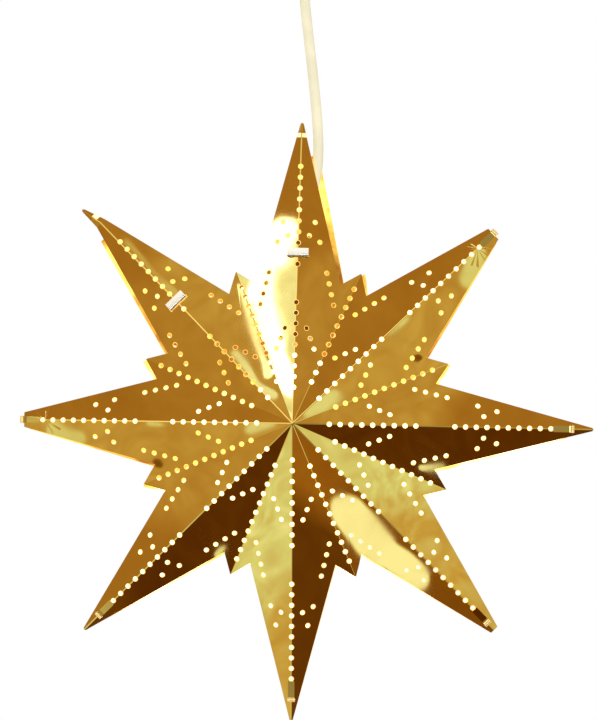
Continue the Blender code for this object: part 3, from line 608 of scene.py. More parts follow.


# The inside of the sheet glows with painted light from the bulb, dimmed by painted shade at the rims, in the
# lampholder's shadow and in half shadows
def makeInnerSheet():
    values = {"Metallic": 0.9, "Emission Strength": sheetLook["glowGain"]}
    made, tree, surface = startFinish("inside of the sheet with painted bulb light", values)
    marks = useGroup(tree, surfaceGroup, sheetLook["marksInside"])
    smudges = marks["Smudges"]
    plan = useGroup(tree, planGroup, {"Shade turn": sheetLook["shadeTurn"]})
    narrowing = folds["notchAcross"] / (starRadius - folds["notchAlong"])
    inward = (starRadius - plan["Along"]) * narrowing - plan["Across"]
    rim = stretch(inward, 0.0, sheetLook["rimReach"], 1.0, 0.0)
    # painted light at the rim, uneven by the smudge noise
    atRim = sheetLook["rimLit"] - stretch(smudges, *sheetLook["rimUneven"])
    for label, start, end, more in sheetLook["rimMore"]:
        atRim = atRim + stretch(plan[label], start, end, 0.0, more)
    lit = mix(rim, 1.0, reckon("ADD", atRim, 0.0, clamp=True))
    # the lampholder's painted shadow, patchy by the smudge noise
    near, full, last, none = sheetLook["shadeRadius"]
    shade = stretch(plan["Radius"], near, full)
    shade = shade * stretch(plan["Radius"], last, none, 1.0, sheetLook["shadeFar"])
    shade = shade * stretch(plan["From shade"], *sheetLook["shadeHalf"], 1.0, 0.0)
    lit = lit * (1.0 - shade * stretch(smudges, *sheetLook["shadePatchy"]))
    # painted half shadows on some sides of points, weaker than the lampholder's shadow
    aside = stretch(plan["Across"], *sheetLook["penumbraAcross"])
    for turn, half in sheetLook["penumbraSides"]:
        off = useGroup(tree, planGroup, {"Shade turn": turn})["From shade"]
        dullToneAndHalfShade = stretch(off, half, half + sheetLook["penumbraFade"], 1.0, 0.0) * aside
        lit = lit * stretch(dullToneAndHalfShade, 0.0, 1.0, 1.0, sheetLook["penumbraLit"])
    # the painted glow fades out before the tips that are cut off
    openFrom = tongueRadius - assembly["backSetback"]
    lit = lit * stretch(plan["Along"], openFrom - sheetLook["openFade"], openFrom, 1.0, sheetLook["openLit"])
    # the painted light's tones, given off as glow
    lead(rampOf(lit, sheetLook["glow"]), surface["Emission Color"])
    lead(stretch(smudges, *sheetLook["roughInside"]), surface["Roughness"])
    # base colour darkened by the same painted shade
    lead(rampOf(lit, sheetLook["inside"]), surface["Base Color"])
    bumpFrom(surface, marks["Height"], sheetLook["marksDepth"])
    return made


# The punched edges and the rims round the holes glow: painted light from the bulb and a painted halo round
# each hole
edgeLook = {
    "values": {"Metallic": 1.0, "Emission Strength": 0.9, "Roughness": 0.3},
    "marks": {"Smudge scale": 260.0},
    "tones": ((0.35, (0.90, 0.48, 0.07)), (0.65, (1.0, 0.72, 0.20))),
}


def makeCutEdge():
    made, tree, surface = startFinish("punched edge with painted glow", edgeLook["values"])
    tone = rampOf(useGroup(tree, surfaceGroup, edgeLook["marks"])["Smudges"], edgeLook["tones"])
    lead(tone, surface["Base Color"])
    lead(tone, surface["Emission Color"])
    return made


plainLook = {  # what every other finish shares
    "marks": {"Wave scale": 60.0, "Smudge scale": 45.0, "Grain scale": 1400.0},
    "smudges": (0.3, 0.7),  # from and to which the next two go
    "toneShares": (0.9, 1.05),
    "roughShares": (0.8, 1.2),
    "depth": 0.0002,
    "strength": 0.5,
}


def makePlain(name, colour, rough, metallic=0.0, coat=0.0, grain=0.03, glow=0.0):
    values = {"Metallic": metallic, "Coat Weight": coat, "Emission Strength": glow}
    made, tree, surface = startFinish(name, values)
    marks = useGroup(tree, surfaceGroup, {**plainLook["marks"], "Grain depth": grain})
    tones = [tuple(c * share for c in colour) for share in plainLook["toneShares"]]
    tone = rampOf(marks["Smudges"], tuple(zip(plainLook["smudges"], tones)))
    lead(tone, surface["Base Color"])
    if glow:
        lead(tone, surface["Emission Color"])
    roughs = [rough * share for share in plainLook["roughShares"]]
    lead(stretch(marks["Smudges"], *plainLook["smudges"], *roughs), surface["Roughness"])
    bumpFrom(surface, marks["Height"], plainLook["depth"], plainLook["strength"])
    return made


finish = {
    "outside": makeOuterSheet(),
    "inside": makeInnerSheet(),
    "edge": makeCutEdge(),
    # the bend of a tongue glows a little: painted light from the bulb
    "bend": makePlain("tongue bend with painted bulb light", (0.92, 0.66, 0.30), 0.30, 1.0, glow=0.30),
    "steel": makePlain("nickel plated steel", (0.80, 0.75, 0.66), 0.24, 1.0, grain=0.05),
    "contact": makePlain("contact brass", (0.86, 0.66, 0.30), 0.28, 1.0),
    "enamel": makePlain("white moulded plastic", (0.86, 0.85, 0.81), 0.28, coat=0.3),
    "ivory": makePlain("ivory cord sheath", (0.93, 0.87, 0.62), 0.38, coat=0.15),
    "black": makePlain("black phenolic", (0.075, 0.034, 0.014), 0.32, coat=0.2),
    "brown": makePlain("brown wire insulation", (0.33, 0.15, 0.07), 0.45),
    "board": makePlain("green circuit board", (0.04, 0.20, 0.09), 0.4, coat=0.4),
    "phosphor": makePlain("yellow phosphor", (0.95, 0.72, 0.20), 0.4, glow=2.0),
    "opal": makePlain("lit opal glass", (1.0, 0.86, 0.55), 0.18, coat=0.6, glow=4.0),
}
slots = {"steel": "plated_steel", "enamel": "white_enamel", "ivory": "ivory_pvc", "black": "black_phenolic"}
print("finishes made")


# Folded and punched sheet


placeSockets = (
    ("Int", ("Points",)),
    ("Float", ("Side", "Star radius", "Slip start", "Spread", "Notch")),
    ("Float", ("First start", "Second start", "Lean half")),
    ("Vector", ("Slip", "First way", "First lean", "Second way", "Second lean", "Centre")),
)


def slipped(place, given):  # how far a spot of a shell hangs from its true place
    x, _, z = split(place)
    flat = join(x, 0.0, z)
    share = stretch(length(flat), given["Slip start"], given["Star radius"], 1.0, 0.0)
    high = stretch(z, given["Notch"] * -1.0, 0.0)
    moved = given["Slip"] * share + flat * (share * high * given["Spread"])
    for tip in ("First", "Second"):
        way = given[tip + " way"]
        near = reckon("LESS_THAN", length(steer("CROSS_PRODUCT", flat, way)), given["Lean half"])
        far = stretch(dot(flat, way), given[tip + " start"], given["Star radius"])
        moved = moved + given[tip + " lean"] * (far * near)
    return moved


def allPoints(given, onePoint):  # a point's geometry, copied round the star
    dots, angle = dotsRound(given["Points"])
    return copiesOn(dots, onePoint, Rotation=join(0.0, angle))


def hangInPlace(given, geometry):
    return shift(geometry, Offset=slipped(here(geometry.tree), given) + given["Centre"])


def bentNose(given):  # the tips round one direction bend away from the flat, in a curve and then straight
    x, _, z = split(here(given["Side"].tree))
    flat = join(x, 0.0, z)
    radius = length(flat)
    past = reckon("MAXIMUM", radius - given["Nose start"], 0.0)
    curved = reckon("MINIMUM", past, given["Nose curve"])
    curved = curved * curved / (given["Nose curve"] * 2.0)
    straight = reckon("MAXIMUM", past - given["Nose curve"], 0.0)
    chosen = reckon("GREATER_THAN", dot(flat, given["Nose way"]), radius * given["Nose cosine"])
    return join(0.0, (curved + straight) * (chosen * given["Nose bend"]))


def makeFoldTree():
    tree, given, out = geometryTree(
        "folded star",
        *placeSockets,
        ("Float", ("Ridge height", "Ridge slope", "Across slope", "Merge")),
        ("Float", ("Nose start", "Nose curve", "Nose bend", "Nose cosine")),
        ("Vector", ("Nose way",)),
        ("Material", ("Material",)),
    )
    x, _, z = split(here(tree))
    height = given["Ridge height"] - z * given["Ridge slope"] - reckon("ABSOLUTE", x) * given["Across slope"]
    point = shift(given["Geometry"], Offset=join(0.0, height * given["Side"]))
    whole = shift(allPoints(given, point), Offset=bentNose(given))
    merged = node(tree, "GeometryNodeMergeByDistance", {"Geometry": whole, "Distance": given["Merge"]})
    dress(hangInPlace(given, merged), given, out)
    return tree


holes = {  # their rows as on the flat sheet, along a ridge from the middle of the star and across it
    "punch": {
        "Hole radius": 0.0015, "Hole sides": 16, "Drill": 0.003, "Lip width": 0.00034, "Lip inset": 0.00022,
        "Lip height": 0.00010, "Slot room": 0.0020, "Cast from": 0.2, "Cast reach": 0.5,
    },
    "pitch": 0.00645,
    "ridgeRows": ((0.0218, 9), (0.0968, 10)),
    "valleyRow": (0.0285, 11),
    "facetRows": (  # start, step and count
        ((0.0464, 0.0118), (0.0060, -0.0025), 3),
        ((0.0744, 0.0231), (0.00637, -0.0016), 4),
        ((0.1230, 0.0101), (-0.0082, -0.0033), 2),
        ((0.1117, 0.0134), (0.0, 0.0), 1),
    ),
}
ridgeGrown, valleyGrown = math.hypot(1, ridgeSlope), math.hypot(1, valleySlope)


def planOf(along, across):  # from the flat sheet to the front view
    side = across / math.hypot(1, acrossSlope / ridgeGrown)
    return Vector((side, 0, (along - ridgeSlope * acrossSlope / ridgeGrown * side) / ridgeGrown))


def rowOf(tree, start, step, count):
    return node(tree, "GeometryNodeMeshLine", {"Count": count, "Start Location": start, "Offset": step})


def foldRows(tree):
    ridge, valley = Vector((0, 0, 1)) / ridgeGrown, Vector(direction(sector)) / valleyGrown
    rows = [(ridge, *row) for row in holes["ridgeRows"]] + [(valley, *holes["valleyRow"])]
    return gather(*(rowOf(tree, way * start, way * holes["pitch"], count) for way, start, count in rows))


def facetRows(tree):
    rows = []
    for start, step, count in holes["facetRows"]:
        first = planOf(*start)
        move = planOf(start[0] + step[0], start[1] + step[1]) - first
        for side in (1, -1):
            mirror = Vector((side, 1, 1))
            rows.append(rowOf(tree, first * mirror, move * mirror, count))
    return gather(*rows)


def castOn(given, place):  # straight at the uncut sheet, from outside
    side = given["Side"]
    start = place + join(0.0, side * given["Cast from"])
    ray = {"Target Geometry": given["Geometry"], "Source Position": start,
           "Ray Direction": join(0.0, side * -1.0), "Ray Length": given["Cast reach"]}
    cast = flowsOf(side.tree, put(side.tree, "GeometryNodeRaycast", ray))
    return cast["Hit Position"], cast["Hit Normal"]


def keep(geometry, label, value, kind="FLOAT"):
    stored = {"Geometry": geometry, "Name": label, "Value": value}
    return node(geometry.tree, "GeometryNodeStoreNamedAttribute", stored, data_type=kind)


def recall(tree, label, kind="FLOAT"):
    return node(tree, "GeometryNodeInputNamedAttribute", {"Name": label}, data_type=kind)


def compare(operation, first, second):
    return node(first.tree, "FunctionNodeCompare", {0: first, 1: second}, operation=operation)


def holeSpots(given, rows, cutters):  # on the sheet, but not where a slot or a cut end is near
    spots = hangInPlace(given, allPoints(given, rows))
    hit, normal = castOn(given, here(rows.tree))
    spots = shift(keep(spots, "sheetNormal", normal, "FLOAT_VECTOR"), Position=hit)
    near = node(rows.tree, "GeometryNodeProximity", {0: cutters}, "Distance")
    close = compare("LESS_THAN", near, given["Slot room"])
    return node(rows.tree, "GeometryNodeDeleteGeometry", {"Geometry": spots, "Selection": close})


def lipRing(given):  # the raised rim that the punch leaves round a hole, closed all round
    tree, half = given["Side"].tree, given["Lip width"] * 0.5
    middle = given["Hole radius"] + half - given["Lip inset"]
    path = circle(tree, given["Hole sides"], middle)
    profile = transform(circle(tree, 4, 1.0), Scale=join(half, given["Lip height"], 1.0))
    ring = node(tree, "GeometryNodeCurveToMesh", {"Curve": path, "Profile Curve": profile})
    return keep(ring, "raised", split(here(tree))[2])


def drape(given, rings):  # lays the rims on the folded sheet
    hit, _ = castOn(given, here(rings.tree))
    return shift(rings, Position=hit + join(0.0, recall(rings.tree, "raised") * given["Side"]))


def makePunchTree():
    tree, given, out = geometryTree(
        "punched sheet",
        *placeSockets,
        ("Object", ("Cutters",)),
        ("Int", ("Hole sides",)),
        ("Float", ("Slot room", "Hole radius", "Drill", "Lip width", "Lip inset", "Lip height")),
        ("Float", ("Cast from", "Cast reach")),
        ("Material", ("Outside", "Inside", "Edge")),
    )
    cutters = node(tree, "GeometryNodeObjectInfo", {"Object": given["Cutters"]}, "Geometry")
    drill = {"Vertices": given["Hole sides"], "Radius": given["Hole radius"], "Depth": given["Drill"]}
    drill, ring = node(tree, "GeometryNodeMeshCylinder", drill), lipRing(given)
    normal = recall(tree, "sheetNormal", "FLOAT_VECTOR")
    cuts, lips = [cutters], []
    for rows, axis in ((foldRows(tree), (0.0, 1.0, 0.0)), (facetRows(tree), normal)):
        spots = holeSpots(given, rows, cutters)
        cuts.append(copiesOn(spots, drill, Rotation=aimed(tree, axis)))
        lips.append(drape(given, copiesOn(spots, ring, Rotation=aimed(tree, axis))))
    cut = {"Mesh 1": given["Geometry"], "Mesh 2": gather(*cuts)}
    sheet = node(tree, "GeometryNodeMeshBoolean", cut, operation="DIFFERENCE", solver="MANIFOLD")
    facing = split(node(tree, "GeometryNodeInputNormal"))[1] * given["Side"]
    outer, inner = compare("GREATER_THAN", facing, 0.5), compare("LESS_THAN", facing, -0.5)
    for label, where in (("Edge", True), ("Outside", outer), ("Inside", inner)):
        chosen = {"Geometry": sheet, "Selection": where, "Material": given[label]}
        sheet = node(tree, "GeometryNodeSetMaterial", chosen)
    # the rims round the holes take the edge finish and its painted glow
    rims = node(tree, "GeometryNodeSetMaterial", {0: gather(*lips), "Material": given["Edge"]})
    rims = node(tree, "GeometryNodeSetShadeSmooth", {0: rims})
    lead(gather(sheet, rims), out)
    return tree


foldTree, punchTree = makeFoldTree(), makePunchTree()


def addBox(bm, place, low, high):
    made = bmesh.ops.create_cube(bm, size=1.0)["verts"]
    bmesh.ops.scale(bm, vec=[h - l for l, h in zip(low, high)], verts=made)
    middle = Vector([(l + h) / 2 for l, h in zip(low, high)])
    bmesh.ops.transform(bm, matrix=place @ Matrix.Translation(middle), verts=made)


def makeCutters(side):  # the slots, and the ends that are cut off, of the front or the back shell
    bm = bmesh.new()
    half, endHalf, room = assembly["slotHalf"], assembly["endHalf"], assembly["clearance"]
    for index, style in enumerate(assembly["ends"]):
        place = pointFrame(index)
        ends = {"blunt": tongueRadius - half, "snubbed": tongueRadius + half + assembly["snubReach"]}
        end = ends.get(style) if side < 0 else tongueRadius - assembly["backSetback"]
        slotsHere = []
        if index in assembly["strapPoints"].values():
            slotsHere.append((assembly["strapLevel"], assembly["strapWidth"] / 2 + room))
        elif side < 0 and style != "blunt":
            slotsHere.append((tongueRadius, assembly["tongueWidth"] / 2 + room))
        for along, wide in slotsHere:
            depth, reach = side * innerHeight(along), assembly["slotReach"]
            addBox(bm, place, (-wide, depth - reach, along - half), (wide, depth + reach, along + half))
        if end:
            depth, reach = side * innerHeight(end), assembly["endReach"]
            addBox(bm, place, (-endHalf, depth - reach, end), (endHalf, depth + reach, starRadius + reach))
    return newPiece("cutters", bm, None, smooth=0)


def flatPoint(side):  # one whole point in the front view, with its ridge in the middle
    valley = Vector(direction(sector))
    inward = Vector((-math.cos(sector), 0, math.sin(sector)))
    short = valley * (folds["shortTip"] - folds["tipChamfer"]) + inward * folds["tipHalfWidth"]
    notch = (folds["notchAcross"], 0, folds["notchAlong"])
    ridge = (0, 0, folds["notchAlong"] + folds["ridgeStep"])
    blunt = (folds["tipHalfWidth"], 0, starRadius - folds["tipChamfer"])
    narrowing = (notch[0] - blunt[0]) / (blunt[2] - notch[2])
    nose, count = folds["nose"], folds["noseRows"]
    rows = [nose["Nose start"] + nose["Nose curve"] * k / count for k in range(count + 1)]
    edges = [((0, 0, a), (blunt[0] + narrowing * (blunt[2] - a), 0, a)) for a in rows]
    edges = [(ridge, notch), *edges, ((0, 0, starRadius), blunt)]
    outlines = [(low[0], high[0], high[1], low[1]) for low, high in zip(edges, edges[1:])]
    outlines.append(((0, 0, 0), ridge, notch))
    outlines.append(((0, 0, 0), notch, tuple(short), tuple(valley * folds["shortTip"])))
    bm = bmesh.new()
    for outline in outlines:
        for mirror in (1, -1):
            corners = [bm.verts.new((x * mirror, y, z)) for x, y, z in outline]
            bm.faces.new(corners if mirror * side > 0 else corners[::-1])
    bmesh.ops.remove_doubles(bm, verts=bm.verts, dist=folds["least"])
    return bm


def makeShell(name, side):
    cutters = makeCutters(side)
    shell = newPiece(name, flatPoint(side), finish["outside"], smooth=0)
    slip, spread = (assembly["slip"], assembly["spread"]) if side > 0 else ((0.0, 0.0, 0.0), 0.0)
    shared = {
        "Points": folds["points"], "Side": float(side), "Star radius": starRadius,
        "Centre": tuple(starCentre), "Notch": folds["notchAlong"], "Slip": slip, "Spread": spread,
        "Slip start": assembly["slipStart"], "Lean half": assembly["leanHalf"],
    }
    leans = assembly["backLeans" if side > 0 else "frontLeans"]
    for tip, (index, start, lean) in zip(("First", "Second"), leans):
        way = direction(2 * sector * index)
        shared.update({tip + " way": way, tip + " start": start, tip + " lean": lean})
    growWith(shell, foldTree, {
        **shared, **folds["nose"], "Nose way": direction(-sector), "Merge": folds["merge"],
        "Ridge height": folds["halfGap"] + ridgeHeight, "Ridge slope": ridgeSlope,
        "Across slope": acrossSlope, "Material": finish["outside"],
    })
    crease = shell.modifiers.new("rounded folds", "BEVEL")
    crease.width, crease.segments = folds["foldRounding"], 2
    crease.limit_method, crease.angle_limit = "ANGLE", math.radians(folds["roundedFrom"])
    wall = shell.modifiers.new("sheet", "SOLIDIFY")
    wall.thickness, wall.offset, wall.use_even_offset = folds["sheet"], 1.0, True
    growWith(shell, punchTree, {
        **shared, **holes["punch"], "Cutters": cutters,
        "Outside": finish["outside"], "Inside": finish["inside"], "Edge": finish["edge"],
    })
    settle(shell)
    bpy.data.objects.remove(cutters, do_unlink=True)
    dressed(shell, "star", "gold_sheet", name)


def tonguePath():  # along the back shell's ridge, across to the front one; over its bend; back along that one
    setback, roll, dip = assembly["backSetback"], assembly["tongueRoll"], assembly["tongueDip"]
    root, turn = tongueRadius - setback - assembly["tongueRoot"], tongueRadius - 2 * assembly["slotHalf"]
    own = [(along, innerHeight(along) + sheetDepth / 2) for along in (root, turn)]
    bend = tongueRadius + roll
    lift = assembly["clearance"] + folds["sheet"] / 2
    base = -outerHeight(tongueRadius) - lift
    across = bent([*own, (bend, innerHeight(bend) - dip), (bend, base + roll)], roll)
    over = bow(tongueRadius, base, roll, -roll, 0, assembly["tongueTurn"], assembly["turnSteps"])
    back, end = tongueRadius - 2 * roll, tongueRadius - assembly["tongueLength"]
    return across, over, [(along, -outerHeight(along) - lift) for along in (back, back - roll / 2, end)]


def makeTongues():
    bm = bmesh.new()
    width = assembly["tongueWidth"]
    across, over, back = tonguePath()
    path = [*across, *over, *back]
    run = (Vector(path[-2]) - Vector(path[-1])).normalized()
    quarters = [math.pi / 2 * s / assembly["endSteps"] for s in range(assembly["endSteps"] + 1)]
    for index, style in enumerate(assembly["ends"]):
        if index in assembly["strapPoints"].values():
            continue
        corner = width * assembly["endShares"][style]
        tip = [Vector(path[-1]) + run * corner * (1 - math.sin(q)) for q in quarters]
        narrow = [width - 2 * corner * (1 - max(math.cos(q), assembly["endLeast"])) for q in quarters]
        widths = [width] * (len(across) - 1) + [assembly["rollWidth"]] * len(over)
        widths += [width] * len(back) + narrow
        ribbon(bm, pointFrame(index), [*path[:-1], *tip], widths, folds["sheet"])
    bmesh.ops.recalc_face_normals(bm, faces=bm.faces)
    # faces past the tongue's radius are its bend, which takes the bend finish and its painted glow
    for face in bm.faces:
        away = face.calc_center_median() - starCentre
        face.material_index = math.hypot(away.x, away.z) > tongueRadius
    tongues = newPiece("back_shell_tongues", bm, finish["outside"], assembly["stripSmooth"])
    tongues.data.materials.append(finish["bend"])
    dressed(tongues, "star", "gold_sheet")


def makeStrap(name, index):
    lift = assembly["clearance"] + assembly["strapThickness"] / 2
    level, tab = assembly["strapLevel"], assembly["strapTab"]
    ends = [(a, outerHeight(a) + lift) for a in (level + tab, level)]
    path = bent([(a, -out) for a, out in ends] + ends[::-1], assembly["strapBend"])
    bm = bmesh.new()
    ribbon(bm, pointFrame(index), path, [assembly["strapWidth"]] * len(path), assembly["strapThickness"])
    bmesh.ops.recalc_face_normals(bm, faces=bm.faces)
    strap = newPiece(f"{name}_strip", bm, finish["steel"], assembly["stripSmooth"])
    dressed(strap, "star", slots["steel"], name)


makeShell("front_shell", -1)
makeShell("back_shell", 1)
makeTongues()
for strapName, strapPoint in assembly["strapPoints"].items():
    makeStrap(strapName, strapPoint)
print("shells folded and punched")


# Cord, from inside the grip nut to the top of its ball


cord = {
    "radius": 0.0030,
    "step": 0.0030,
    "route": (  # from the middle of the star, to the right and up
        (0.0, 0.0964), (0.0, 0.10385), (0.0, 0.1113), (0.0009, 0.1170), (0.0027, 0.1235), (0.0053, 0.1315),
        (0.0078, 0.1410), (0.0094, 0.1510), (0.0099, 0.1610), (0.0094, 0.1740), (0.0079, 0.1900),
        (0.0055, 0.2100), (0.0031, 0.2280), (0.0013, 0.2420), (0.0002, 0.2530), (0.0, 0.2740), (0.0, 0.2985),
    ),
}


def smoothRoute(points, step):  # a Catmull-Rom curve through the points
    ends = [2 * points[0] - points[1], *points, 2 * points[-1] - points[-2]]
    found = [points[0]]
    for before, start, end, after in zip(ends, ends[1:], ends[2:], ends[3:]):
        count = max(1, round((end - start).length / step))
        slopeIn, slopeOut = (end - before) / 2, (after - start) / 2
        for t in ((k + 1) / count for k in range(count)):
            found.append(
                (2 * t**3 - 3 * t**2 + 1) * start + (t**3 - 2 * t**2 + t) * slopeIn
                + (3 * t**2 - 2 * t**3) * end + (t**3 - t**2) * slopeOut
            )
    return found


def makeCord(boot):
    route = smoothRoute([starCentre + Vector((x, 0, z)) for x, z in cord["route"]], cord["step"])
    curve = bpy.data.curves.new("supply_cord_sheath", "CURVE")
    curve.dimensions = "3D"
    curve.bevel_depth, curve.bevel_resolution, curve.use_fill_caps = cord["radius"], 6, True
    spline = curve.splines.new("POLY")
    spline.points.add(len(route) - 1)
    for point, place in zip(spline.points, route):
        point.co = (*place, 1.0)
    spline.use_smooth = True
    sheath = bpy.data.objects.new("supply_cord_sheath", curve)
    scene.collection.objects.link(sheath)
    curve.materials.append(finish["ivory"])
    length = sum((b - a).length for a, b in zip(route, route[1:]))
    dressed(sheath, "star", slots["ivory"], "supply_cord")


# Turned pieces


def turnedPiece(name, solid, body, look, profile, axis, soft=0.0004, sides=96):
    piece = turned(name, rounded(profile, soft), finish[look], Vector(axis), sides)
    return dressed(piece, body, slots[look], solid)


fitting = {  # ceiling cup, with heights from the ceiling
    "radius": 0.031, "depth": 0.055, "wall": 0.0012, "shoulder": 0.016, "floor": 0.017, "topGap": 0.0006,
    "bore": 0.0103, "soft": 0.0003, "pivotDrop": 0.048, "seat": 0.0083, "bush": 0.010,
    "bushFlange": 0.0135, "bushMouth": 0.0086, "flangeTop": -0.0073, "flangeBottom": -0.0098,
    "bushRim": 0.004, "throat": 37.0, "screwGap": 0.0003,
    "screws": {"Count": 2, "Drop": 0.008, "Head radius": 0.0028, "Head height": 0.0016, "Slot width": 0.0006},
}
pivot = (0, 0, -fitting["pivotDrop"])


def makeFitting():
    radius, wall, shoulder = fitting["radius"], fitting["wall"], fitting["shoulder"]
    corner, span = -(fitting["depth"] - shoulder), radius - fitting["floor"]
    outside = bow(fitting["floor"], corner, span, shoulder, 0, -90, 16)
    inside = bow(fitting["floor"], corner, span - wall, shoulder - wall, -90, 0, 16)
    bore, bottom, top = fitting["bore"], -fitting["depth"], -fitting["topGap"]
    profile = [(radius, top), *outside, (bore, bottom), (bore, bottom + wall), *inside, (radius - wall, top)]
    turnedPiece("ceiling_cup_shell", "ceiling_cup", "ceiling_fitting", "enamel", profile, (0, 0, 0),
                fitting["soft"], 128)
    seat, bush, flange, mouth = (fitting[k] for k in ("seat", "bush", "bushFlange", "bushMouth"))
    rim, top, bottom = fitting["bushRim"], fitting["flangeTop"], fitting["flangeBottom"]
    profile = [(bush, rim), (bush, top), (flange, top), (flange, bottom), (mouth, bottom),
               *bow(0, 0, seat, seat, -fitting["throat"], 0, 12), (seat, rim)]
    turnedPiece("swivel_bush_ring", "swivel_bush", "swivel", "enamel", profile, pivot)


boot = {
    "ball": 0.008, "top": 0.0065, "bore": 0.0033, "neck": 0.0048, "end": 0.0039, "length": 0.036,
    "taperStart": 0.014, "ribs": 6, "ribDepth": 0.0005, "soft": 0.00035,
    "ribShares": ((0.3, 0), (0.38, 1), (0.62, 1), (0.7, 0)),  # of the way from one to the next, and how deep
    "endShare": 0.4,
}


def makeBoot():  # the ball, and under it a tapered strain relief with grooves round it
    ball, neck, end, bore = (boot[k] for k in ("ball", "neck", "end", "bore"))
    top, bottom = math.degrees(math.asin(boot["top"] / ball)), -math.degrees(math.acos(neck / ball))
    profile = [(bore, boot["top"]), *bow(0, 0, ball, ball, top, bottom, 18), (neck, -boot["taperStart"])]
    for k in range(boot["ribs"]):
        for place, deep in boot["ribShares"]:
            share = (k + place) / (boot["ribs"] + boot["endShare"])
            radius = neck + (end - neck) * share - boot["ribDepth"] * deep
            profile.append((radius, -boot["taperStart"] - (boot["length"] - boot["taperStart"]) * share))
    profile += [(end, -boot["length"]), (bore, -boot["length"])]
    return turnedPiece("cord_boot_moulding", "cord_boot", "star", "ivory", profile, pivot, boot["soft"], 72)


def makeScrewTree():  # slotted screw heads, round a ring
    tree, given, out = geometryTree(
        "slotted screws",
        ("Int", ("Count",)),
        ("Float", ("Ring radius", "Drop", "Head radius", "Head height", "Slot width")),
        ("Material", ("Material",)),
    )
    radius, height, ring = given["Head radius"], given["Head height"], given["Ring radius"]
    head = node(tree, "GeometryNodeMeshCylinder", {"Vertices": 32, "Radius": radius, "Depth": height})
    long = radius * 3.0  # past both sides of the head
    blade = node(tree, "GeometryNodeMeshCube", {"Size": join(long, given["Slot width"], height)})
    lift = join(0.0, 0.0, height * 0.5)
    cut = {"Mesh 1": head, "Mesh 2": transform(blade, Translation=lift)}
    head = node(tree, "GeometryNodeMeshBoolean", cut, operation="DIFFERENCE", solver="EXACT")
    dots, angle = dotsRound(given["Count"])
    dots = shift(dots, Position=join(reckon("SINE", angle) * ring, reckon("COSINE", angle) * ring))
    heads = copiesOn(dots, transform(head, Translation=lift), Rotation=aimed(tree, here(tree)))
    dress(transform(heads, Translation=join(0.0, 0.0, given["Drop"] * -1.0)), given, out)
    return tree


def makeScrews():
    screws = newPiece("cup_screw_heads", bmesh.new(), None, smooth=0)
    ring = fitting["radius"] + fitting["screwGap"]
    growWith(screws, makeScrewTree(), {**fitting["screws"], "Ring radius": ring, "Material": finish["steel"]})
    dressed(settle(screws), "ceiling_fitting", slots["steel"], "cup_screw_1", "cup_screw_2")


holder = {  # lampholder and grip nut, with heights from the middle of the star
    "strapTop": 0.0993, "gripHeight": 0.012, "gripRadius": 0.0075, "gripChamfer": 0.0012, "bore": 0.0033,
    "gripWide": 0.0044, "nippleRise": 0.005, "nipple": 0.0041, "clearance": 0.0003, "capTop": 0.0979,
    "capBottom": 0.0824, "radius": 0.0135, "capWall": 0.0015, "capSoft": 0.0012, "crown": 0.008,
    "crownRadius": 0.0085, "bodyTop": 0.0821, "bodyBottom": 0.0516, "bodyWall": 0.0013, "bodySoft": 0.0004,
    "ledge": 0.0018, "ledgeTop": 0.0789, "ledgeThickness": 0.0012,
    "rib": 0.0004,
    "gripRibs": (20, 0.0012, 0.0030),  # count, distance from the bottom and the top
    "bodyRibs": (30, 0.004, 0.004),
}


def makeRibTree():  # upright ribs round a grip
    tree, given, out = geometryTree(
        "grip ribs",
        ("Int", ("Count",)),
        ("Float", ("Radius", "Bottom", "Top", "Rib radius")),
        ("Vector", ("Centre",)),
        ("Material", ("Material",)),
    )
    bottom, top = given["Bottom"], given["Top"]
    bar = {"Vertices": 10, "Radius": given["Rib radius"], "Depth": top - bottom}
    ring = node(tree, "GeometryNodeMeshCircle", {"Vertices": given["Count"], "Radius": given["Radius"]})
    bars = copiesOn(ring, node(tree, "GeometryNodeMeshCylinder", bar))
    bars = transform(bars, Translation=join(0.0, 0.0, (top + bottom) * 0.5) + given["Centre"])
    dress(gather(given["Geometry"], bars), given, out)
    return tree


